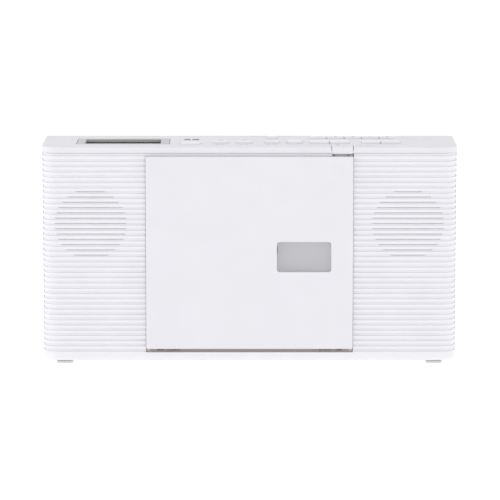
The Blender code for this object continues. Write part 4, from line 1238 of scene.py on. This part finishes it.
# ---------------------------------------------------------------- CD mechanism
def make_well(surfaces):
    x, (front, rear), z = spans("cd_well")
    floor = rear - 2.0
    block = front_slab(x, (front, rear), z, 1.2, 0.2, 0.1)
    pocket = front_hole(
        (-OPENING_HALF, OPENING_HALF), (-20.0, OPENING_TOP), front, floor - front, 2.5, 0.1, 8
    )
    disc_x, _, disc_z = centre_of("turntable")
    dish_floor = floor + 0.6
    dish = [(0.0, floor - 3.0), (DISH_RADIUS + 0.3, floor - 3.0), (DISH_RADIUS + 0.3, floor - 0.05)]
    dish += [(DISH_RADIUS - 0.2, dish_floor - 0.1), (DISH_RADIUS - 0.5, dish_floor), (0.0, dish_floor)]
    dish = turned_back(dish, disc_x, disc_z, 144)
    hub = turned_back(round_bar(HUB_HOLE_RADIUS, floor - 3.0, rear + 2.0), disc_x, disc_z, 40)
    lens_x = disc_x - LENS_OFFSET
    slot = front_hole((lens_x - 41.0, lens_x + 6.0), around(disc_z, 10.0), dish_floor, 4.0, 2.0, 0.3)
    latch = slab((59.2, 72.4), (back(2.0), back(8.0)), (149.0, 160.0), 0.6, 0.0, 0.0, 4)
    scoops = []
    for angle in FINGER_SCOOP_ANGLES:
        turn = math.radians(angle)
        scoop_x = disc_x + (DISH_RADIUS - 4.0) * math.cos(turn)
        scoop_z = disc_z + (DISH_RADIUS - 4.0) * math.sin(turn)
        bowl = [
            (0.0, floor + 1.1), (5.0, floor + 0.9), (8.0, floor + 0.4), (9.5, floor - 0.4),
            (9.5, floor - 3.0)
        ]
        scoops.append(turned_back([*bowl, (0.0, floor - 3.0)], scoop_x, scoop_z, 48))
    well = cut(block, pocket, dish, hub, slot, latch, joined(scoops))
    # The well's white glows faintly with painted light.
    piece("disc_well", well, surfaces["inner_white_glow"], stands_for=["cd_well"])


def make_turntable(surfaces):
    disc_x, _, disc_z = centre_of("turntable")
    radius = (spans("turntable")[0][1] - spans("turntable")[0][0]) / 2
    start, end = spans("turntable")[1]
    plate_front = back(TURNTABLE_FACE)
    hub = [(0.0, start), (1.6, start), (1.9, start + 0.4), (4.0, start + 0.1), (7.4, start + 1.5)]
    hub += [
        (7.4, plate_front), (radius, plate_front), (radius, plate_front + 1.7), (3.0, plate_front + 1.7)
    ]
    hub += [(3.0, plate_front + 3.5), (1.0, plate_front + 3.5), (1.0, end), (0.0, end)]
    spindle = turned_back(eased(hub, 0.3), disc_x, disc_z, 72)
    piece("turntable_hub", spindle, surfaces["black_gloss"], "disc_drive", ["turntable"])
    grip = [(7.9, plate_front - 0.15), (radius - 0.3, plate_front - 0.15)]
    grip += [(radius - 0.3, plate_front + 0.1), (7.9, plate_front + 0.1)]
    piece("turntable_grip_ring", turned_back(grip, disc_x, disc_z, 72), surfaces["black"], "disc_drive")
    balls = []
    for number in range(3):
        turn = math.radians(90 + 120 * number)
        centre = (disc_x + BALL_ORBIT * math.cos(turn), disc_z + BALL_ORBIT * math.sin(turn))
        half = arc((0.0, start + 2.1), 0.8, -90, 90, 10)
        balls.append(turned_back([(max(r, 0.0), h) for r, h in half], *centre, 20))
    piece("turntable_balls", joined(balls), surfaces["steel"], "disc_drive")

    x, (start, end), _ = spans("spindle_motor")
    outer = (x[1] - x[0]) / 2
    can = eased([(1.4, start), (outer, start), (outer, end), (1.4, end)], 0.8, 4)
    piece(
        "spindle_motor_can", turned_back(can, disc_x, disc_z, 64), surfaces["motor"],
        stands_for=["spindle_motor"]
    )


def make_pickup(surfaces):
    disc_x, _, disc_z = centre_of("turntable")
    lens_x = disc_x - LENS_OFFSET
    body = front_slab(
        around(lens_x, 9.0), (back(19.5), back(26.0)), around(disc_z, 18.5), 1.5,
        0.3, 0.5
    )
    x, _, z = spans("laser_pickup")
    rack_y = [back(depth) for depth in RACK_DEPTHS]
    rack = front_slab(x, rack_y, (disc_z + 17.5, z[1] - 0.5), 0.3, 0.0, 0.0, 3)
    teeth = []
    pitch = math.pi * GEAR_PITCH_DIAMETER / GEAR_TEETH
    for number in range(int((x[1] - x[0]) / pitch)):
        tooth_x = x[0] + 0.9 + pitch * number
        line = [
            (tooth_x - 0.7, z[1] - 1.0), (tooth_x + 0.7, z[1] - 1.0), (tooth_x + 0.3, z[1]),
            (tooth_x - 0.3, z[1])
        ]
        teeth.append(loft([[(px, y, pz) for px, pz in line] for y in (back(22.6), back(25.4))]))
    tower = [
        (0.0, back(15.0)), (1.7, back(15.0)), (2.1, back(14.6)), (3.2, back(14.8)), (4.0, back(15.6))
    ]
    tower += [(4.0, back(20.0)), (0.0, back(20.0))]
    tower = turned_back(eased(tower, 0.2), lens_x, disc_z, 48)
    bore = turned_across(rod(1.8, lens_x - 12.0, lens_x + 12.0, 0.05), back(23.0), disc_z - 14.0, 24)
    recess = front_hole(around(lens_x, 6.5), around(disc_z, 7.5), back(19.5), 0.6, 1.0, 0.1)
    body = cut(body, recess)
    pickup = cut(fused(body, rack, joined(teeth), tower), bore)
    piece("pickup_sled_body", pickup, surfaces["black"], "pickup_sled", ["laser_pickup"])
    dome = [
        (0.0, back(14.75)), (0.8, back(14.8)), (1.4, back(14.95)), (1.62, back(15.15)),
        (1.62, back(15.3)), (0.0, back(15.3))
    ]
    piece("pickup_lens", turned_back(dome, lens_x, disc_z, 40), surfaces["glass"], "pickup_sled")

    x, y, z = spans("guide_rod")
    guide = turned_across(rod((z[1] - z[0]) / 2, x[0], x[1], 0.4), sum(y) / 2, sum(z) / 2)
    piece("guide_rod_steel", guide, surfaces["steel"], stands_for=["guide_rod"])


def make_pickup_drive(surfaces):
    x, (start, end), z = spans("pickup_gear")
    centre = (sum(x) / 2, sum(z) / 2)
    outer, root = (z[1] - z[0]) / 2, (z[1] - z[0]) / 2 - 1.15
    outline = []
    for tooth in range(GEAR_TEETH):
        for share, radius in ((0.02, root), (0.2, root), (0.36, outer), (0.58, outer), (0.74, root)):
            turn = 2 * math.pi * (tooth + share) / GEAR_TEETH
            outline.append((radius * math.cos(turn), radius * math.sin(turn)))
    wheel = loft([[(a, b, level) for a, b in outline] for level in (start, start + 2.4)])
    web = turned([(1.8, start - 1.0), (3.9, start - 1.0), (3.9, start + 0.7), (1.8, start + 0.7)], 40)
    shaft = turned(rod(1.0, start, end, 0.2), 24)
    gear = fused(cut(wheel, web), shaft)
    gear = moved(turn_x(gear, -90), x=centre[0], z=centre[1])
    piece("pickup_gear_wheel", gear, surfaces["gear"], "sled_gear", ["pickup_gear"])
    x, (start, end), _ = spans("pickup_motor")
    outer = (x[1] - x[0]) / 2
    can = eased([(1.3, start), (outer, start), (outer, end), (1.3, end)], 0.7, 4)
    piece(
        "pickup_motor_can", turned_back(can, *centre, 56), surfaces["motor"],
        stands_for=["pickup_motor"]
    )

    x, y, z = spans("mechanism_plate")
    disc_x, _, disc_z = centre_of("turntable")
    deck = front_slab(x, y, z, 4.0, 0.1, 0.1, 8)
    window = front_hole((disc_x - 69.0, disc_x - 12.0), around(disc_z, 20.0), y[0], 4.0, 1.5, 0.1)
    holes = [turned_back(round_bar(4.0, -40.0, 0.0), disc_x, disc_z, 40)]
    for hole_x in inside(x, DECK_SCREW_INSET):
        for hole_z in inside(z, DECK_SCREW_INSET):
            holes.append(turned_back(round_bar(1.7, -40.0, 0.0), hole_x, hole_z, 24))
    piece(
        "mechanism_deck", cut(deck, window, joined(holes)), surfaces["zinc"],
        stands_for=["mechanism_plate"]
    )


# ---------------------------------------------------------------- sound
def make_speakers(surfaces):
    """Two round drivers. Their profiles list radius and depth behind the rim."""
    basket = [(0, 16.5), (10.0, 16.5), (13.0, 14.5), (27.0, 3.0), (27.0, 0.0), (29.8, 0.0), (29.8, 2.0)]
    basket += [(28.4, 3.0), (17.0, 19.0), (20.0, 19.5), (20.0, 30.5), (0, 30.5)]
    roll = [
        (23.6 + 1.5 - 1.5 * math.cos(math.pi * i / 8), 2.0 - 1.2 * math.sin(math.pi * i / 8))
        for i in range(9)
    ]
    cone = [
        (0.0, 6.5), (3.0, 6.8), (6.0, 7.9), (8.5, 9.5), (16.0, 5.3), (23.4, 2.1), *roll, (26.6, 1.9),
        (26.6, 2.3)
    ]
    cone += [(24.0, 2.6), (16.0, 6.2), (9.0, 10.5), (9.0, 13.0), (8.0, 13.0), (8.0, 10.1), (0.0, 7.3)]
    for side in ("left", "right"):
        x, _, z = centre_of(f"speaker_{side}")
        rim = spans(f"speaker_{side}")[1][0]
        for node, profile, surface, body, name in (
            (f"speaker_{side}", eased(basket, 0.5, 2), surfaces["zinc"], "cabinet", "basket"),
            (f"speaker_cone_{side}", cone, surfaces["paper"], f"{side}_cone", "diaphragm"),
        ):
            behind = [(radius, rim + depth) for radius, depth in profile]
            piece(f"{node}_{name}", turned_back(behind, x, z, 96), surface, body, [node])


# ---------------------------------------------------------------- electrics
def make_boards(surfaces):
    x, y, z = spans("main_board")
    board = rear_slab(x, y, z, 1.5, 0.05, 0.05)
    holes = []
    for hole_x in inside(x, SCREW_INSET):
        for hole_z in inside(z, SCREW_INSET):
            profile = round_bar(1.6, y[0] - 2.0, y[1] + 2.0)
            holes.append(turned_back(profile, hole_x, hole_z, 24))
    piece("main_board_panel", cut(board, joined(holes)), surfaces["board"], stands_for=["main_board"])
    chips = []
    for left, low, width, height in BOARD_CHIPS:
        chip_x, chip_y, chip_z = (left, left + width), (y[1] - 0.1, y[1] + 2.2), (low, low + height)
        chips.append(rear_slab(chip_x, chip_y, chip_z, 0.4, 0.0, 0.3, 3))
    piece("main_board_chips", joined(chips), surfaces["black"])
    cans = []
    for can_x, can_z, radius, height in BOARD_CANS:
        profile = eased(round_bar(radius, y[1] - 0.1, y[1] + height), 0.6)
        cans.append(turned_back(profile, can_x, can_z, 32))
    piece("main_board_capacitors", joined(cans), surfaces["motor"])

    x, y, z = spans("key_board")
    piece(
        "key_board_panel", slab(x, y, z, 1.5, 0.05, 0.05), surfaces["board"], stands_for=["key_board"]
    )
    tops = []
    for node in (*ROW_KEYS, *PAIRED_KEYS[0], *PAIRED_KEYS[1], *PRESET_KEYS, "mode_key", "power_key"):
        key_x, key_y, _ = centre_of(node)
        switch_x = around(key_x, SWITCH_HALF)
        switch_y = around(key_y, SWITCH_HALF)
        tops.append(slab(switch_x, switch_y, (z[1] - 0.1, z[1] + 0.2), 0.4, 0.0, 0.05, 3))
    piece("key_board_switches", joined(tops), surfaces["black"])


def make_transformer(surfaces):
    x, y, z = spans("mains_transformer")
    core = slab(x, inside(y, 4.0), z, 0.8, 0.3, 0.3, 4)
    piece("transformer_core", core, surfaces["core"], stands_for=["mains_transformer"])
    winding_x = inside(x, 7.0)
    for name, span in (("front", (y[0], y[0] + 4.2)), ("rear", (y[1] - 4.2, y[1]))):
        half = front_slab(winding_x, span, inside(z, 4.0), 2.5, 0.6, 0.6, 6)
        piece(f"transformer_winding_{name}", half, surfaces["winding"])


def make_sockets(surfaces):
    x, (start, end), z = spans("mains_inlet")
    centre_x, centre_z = sum(x) / 2, sum(z) / 2
    body = rear_slab(x, (start, end), z, 1.0, 0.2, 0.3)
    hollow = rear_hole(around(centre_x, 7.9), around(centre_z, 4.8), end, 10.0, 4.7, 0.3, 12)
    pins = []
    for pin_x in around(centre_x, 4.3):
        pins.append(turned_back(rod(1.2, end - 11.0, end - 1.5, 0.5), pin_x, centre_z, 24))
    piece("mains_inlet_housing", cut(body, hollow), surfaces["black"], stands_for=["mains_inlet"])
    piece("mains_inlet_pins", joined(pins), surfaces["chrome"])
    for node in ("headphone_socket", "line_in_socket"):
        x, _, z = centre_of(node)
        start, end = spans(node)[1]
        barrel = [
            (0.0, start), (5.0, start), (5.0, end - 2.6), (4.0, end - 2.6), (4.0, end), (2.9, end),
            (2.9, end - 0.4)
        ]
        barrel += [(1.8, end - 0.4), (1.75, start + 3.0), (0.0, start + 3.0)]
        piece(
            f"{node}_barrel", turned_back(eased(barrel, 0.15, 2), x, z, 48), surfaces["black"],
            stands_for=[node]
        )
        ring = eased(
            [(1.85, end - 0.5), (2.8, end - 0.5), (2.8, end - 0.05), (1.85, end - 0.05)], 0.1, 2
        )
        piece(f"{node}_contact_ring", turned_back(ring, x, z, 48), surfaces["chrome"])


def make_battery_box(surfaces):
    x, (start, end), z = spans("battery_tray")
    tray = rear_slab(x, (start, end), z, 1.5, 0.3, 0.1)
    inner_x, inner_z = (x[0] + BATTERY_WALL, x[1] - BATTERY_WALL), inside(z, BATTERY_WALL)
    tray = cut(tray, rear_hole(inner_x, inner_z, end, end - start - BATTERY_WALL, 1.2, 0.1))
    middle = sum(z) / 2
    rib = rear_slab((-40.0, 40.0), (start + 1.0, start + 6.0), around(middle, 0.8), 0.4, 0.0, 0.3, 4)
    piece("battery_box", fused(tray, rib), surfaces["inner_white_glow"], stands_for=["battery_tray"])
    depth = (start + BATTERY_WALL + end) / 2
    springs, plates = [], []
    for row, height in enumerate(around(middle, BATTERY_ROW_RISE)):
        for side in (-1, 1):
            wall_x = side * (x[1] - BATTERY_WALL)
            plates.append(
                slab(
                    sorted((wall_x - side * 0.5, wall_x + side * 0.1)),
                    around(depth, CONTACT_HALF),
                    around(height, CONTACT_HALF),
                    0.2,
                    0.0,
                    0.0,
                    2,
                )
            )
            if (row == 0) == (side == 1):
                line = []
                for i in range(COIL_STEPS + 1):
                    share = i / COIL_STEPS
                    turn = 2 * math.pi * COIL_TURNS * share
                    radius = 6.0 - 3.2 * share
                    along = wall_x - side * (0.8 + 7.0 * share)
                    line.append(
                        (along, depth + radius * math.cos(turn), height + radius * math.sin(turn))
                    )
                springs.append(tube(line, 0.4, 8))
    piece("battery_contact_plates", joined(plates), surfaces["steel"])
    piece("battery_contact_springs", joined(springs), surfaces["steel"])

    x, (start, end), z = spans("battery_cover")
    lid = rear_slab(x, (start, end), z, 0.9, 0.1, 0.25)
    grooves = []
    for row in range(5):
        level = z[1] - 8.0 - 2.4 * row
        grooves.append(rear_hole((-11.0, 11.0), around(level, 0.5), end, 0.6, 0.48, 0.05, 5))
    arrow_line = eased_loop([(-3.2, z[0] + 8.0), (0.0, z[0] + 5.0), (3.2, z[0] + 8.0)], 0.3, 2)
    arrow = loft([[(px, level, pz) for px, pz in arrow_line] for level in (end - 0.5, end + 1.0)])
    piece(
        "battery_lid_panel", cut(lid, joined(grooves), arrow), surfaces["white"], "battery_lid",
        ["battery_cover"]
    )


# ---------------------------------------------------------------- antenna
def make_antenna(surfaces):
    axis_x = centre_of("antenna_swivel")[0]
    axis_y = centre_of("antenna_swivel")[1]
    low, high = spans("antenna_swivel")[2]
    axis_z = (spans("antenna_tube_2")[2][0] + spans("antenna_tube_2")[2][1]) / 2
    base = round_bar(3.6, low, low + 1.4)
    base = turned_up(eased(base, 0.3), axis_x, axis_y, 48)
    cheeks = []
    for span in ((-3.1, -1.9), (1.9, 3.1)):
        outline = [(axis_x - 1.9, low + 1.2), (axis_x + 1.9, low + 1.2)]
        outline += arc((axis_x, high - 1.9), 1.9, 0, 180, 12)
        cheeks.append(loft([[(px, axis_y + y, pz) for px, pz in outline] for y in span]))
    pin = turned_back(rod(0.9, axis_y - 2.9, axis_y + 2.9, 0.2), axis_x, axis_z, 24)
    piece(
        "antenna_fork", fused(base, joined(cheeks), pin), surfaces["zinc"], "antenna_base",
        ["antenna_swivel"]
    )

    mast = [
        (0.0, TUBE_ROOTS[1]), (2.7, TUBE_ROOTS[1]), (
            2.7, TUBE_TIPS[1] + 0.6
        ), (2.45, TUBE_TIPS[1]), (2.2, TUBE_TIPS[1] + 0.2)
    ]
    mast += [(2.2, TUBE_ROOTS[1] - 2.0), (0.0, TUBE_ROOTS[1] - 2.0)]
    tube_1 = turned_across(eased(mast, 0.15, 2), axis_y, axis_z)
    eye = turned_back(rod(2.3, axis_y - 1.6, axis_y + 1.6, 0.2), axis_x, axis_z, 40)
    neck = slab(
        (TUBE_ROOTS[1] - 1.0, axis_x - 1.4), around(axis_y, 1.5), around(axis_z, 1.4), 0.5,
        0.4, 0.4, 4
    )
    hole = turned_back(round_bar(1.2, axis_y - 4.0, axis_y + 4.0), axis_x, axis_z, 24)
    tube_1 = cut(fused(tube_1, neck, eye), hole)
    piece("antenna_mast_tube", tube_1, surfaces["chrome"], "antenna_mast", ["antenna_tube_1"])
    middle = [
        (1.4, TUBE_ROOTS[2]), (1.9, TUBE_ROOTS[2]), (
            1.9, TUBE_TIPS[2] + 0.4
        ), (1.7, TUBE_TIPS[2]), (1.4, TUBE_TIPS[2] + 0.2)
    ]
    piece(
        "antenna_middle_tube", turned_across(middle, axis_y, axis_z), surfaces["chrome"],
        "antenna_middle", ["antenna_tube_2"]
    )
    cap = TUBE_TIPS[3] + 4.0
    tip = [
        (
            0.0, TUBE_ROOTS[3]
        ), (1.1, TUBE_ROOTS[3]), (1.1, cap), (2.3, cap), (2.65, cap - 0.5), (2.5, cap - 1.0),
        (2.65, cap - 1.5)
    ]
    tip += [(2.65, TUBE_TIPS[3] + 1.0), (1.9, TUBE_TIPS[3] + 0.2), (0.0, TUBE_TIPS[3])]
    tip = turned_across(eased(tip, 0.25, 3), axis_y, axis_z)
    piece("antenna_tip_rod", tip, surfaces["chrome"], "antenna_tip", ["antenna_tube_3"])


# ---------------------------------------------------------------- stage
def make_floor():
    shape = bmesh.new()
    bmesh.ops.create_grid(shape, x_segments=1, y_segments=1, size=14.0)
    mesh = bpy.data.meshes.new("floor")
    shape.to_mesh(mesh)
    shape.free()
    surface = Surface("floor_paper", None)
    tone = surface.ranged(surface.noise(400.0), 0.0, 1.0)
    surface.set(base_color=surface.mixed(tone, (0.49, 0.49, 0.495), (0.51, 0.51, 0.51)))
    surface.set(roughness=surface.ranged(surface.noise(30.0), 0.7, 0.8), specular_ior_level=0.2)
    surface.set(emission_color=(1.0, 1.0, 1.0, 1.0), emission_strength=0.7)
    mesh.materials.append(surface.material)
    floor = bpy.data.objects.new("floor", mesh)
    bpy.context.collection.objects.link(floor)


def softbox(name, azimuth, elevation, distance, size, watts):
    """A square area light that faces the middle of the object."""
    light = bpy.data.lights.new(name, "AREA")
    light.shape = "SQUARE"
    light.size = size
    light.energy = watts
    lamp = bpy.data.objects.new(name, light)
    bpy.context.collection.objects.link(lamp)
    a, e = math.radians(azimuth), math.radians(elevation)
    way = Vector((math.sin(a) * math.cos(e), -math.cos(a) * math.cos(e), math.sin(e)))
    lamp.location = Vector((0.0, 0.0, 0.08)) + way * distance
    lamp.rotation_euler = (-way).to_track_quat("-Z", "Y").to_euler()


ZENITH_LIGHT = 0.9  # the sky's light overhead, as a share of its light at the horizon


def make_lights():
    world = bpy.data.worlds.new("studio")
    world.use_nodes = True
    background = world.node_tree.nodes["Background"]
    nodes, links = world.node_tree.nodes, world.node_tree.links
    way = nodes.new("ShaderNodeTexCoord")
    split = nodes.new("ShaderNodeSeparateXYZ")
    shade = nodes.new("ShaderNodeMapRange")
    shade.inputs["From Min"].default_value = 0.35
    shade.inputs["To Min"].default_value = 1.0
    shade.inputs["To Max"].default_value = ZENITH_LIGHT
    links.new(way.outputs["Generated"], split.inputs[0])
    links.new(split.outputs["Z"], shade.inputs["Value"])
    links.new(shade.outputs["Result"], background.inputs["Color"])
    background.inputs["Strength"].default_value = 1.0
    bpy.context.scene.world = world
    softbox("left_softbox", -78.0, 8.0, 2.2, 1.1, 6.5)
    softbox("right_softbox", 78.0, 8.0, 2.2, 1.1, 3.4)
    bpy.context.scene.view_settings.view_transform = "Standard"


CAMERA_DISTANCE = 2.3
CAMERA_ELEVATION = 9.4
VIEW_WIDTH = 0.3614  # metres across the frame at the front of the object
AIM = (0.4, FRONT, 83.9)


def make_camera():
    camera = bpy.data.cameras.new("camera")
    camera.sensor_width = 36.0
    camera.lens = camera.sensor_width * CAMERA_DISTANCE / VIEW_WIDTH
    camera.dof.use_dof = False
    holder = bpy.data.objects.new("camera", camera)
    bpy.context.collection.objects.link(holder)
    target = Vector(AIM) * MM
    e = math.radians(CAMERA_ELEVATION)
    way = Vector((0.0, -math.cos(e), math.sin(e)))
    holder.location = target + way * CAMERA_DISTANCE
    holder.rotation_euler = (-way).to_track_quat("-Z", "Y").to_euler()
    bpy.context.scene.camera = holder


def main():
    make_camera()
    surfaces = make_surfaces()
    make_front_shell(surfaces)
    make_rear_shell(surfaces)
    make_top_cover(surfaces)
    make_feet(surfaces)
    make_screws(surfaces)
    make_keys(surfaces)
    make_open_key(surfaces)
    make_display(surfaces)
    make_marks(surfaces)
    make_door(surfaces)
    make_hinges(surfaces)
    make_well(surfaces)
    make_turntable(surfaces)
    make_pickup(surfaces)
    make_pickup_drive(surfaces)
    make_speakers(surfaces)
    make_boards(surfaces)
    make_transformer(surfaces)
    make_sockets(surfaces)
    make_battery_box(surfaces)
    make_antenna(surfaces)
    make_floor()
    make_lights()


main()
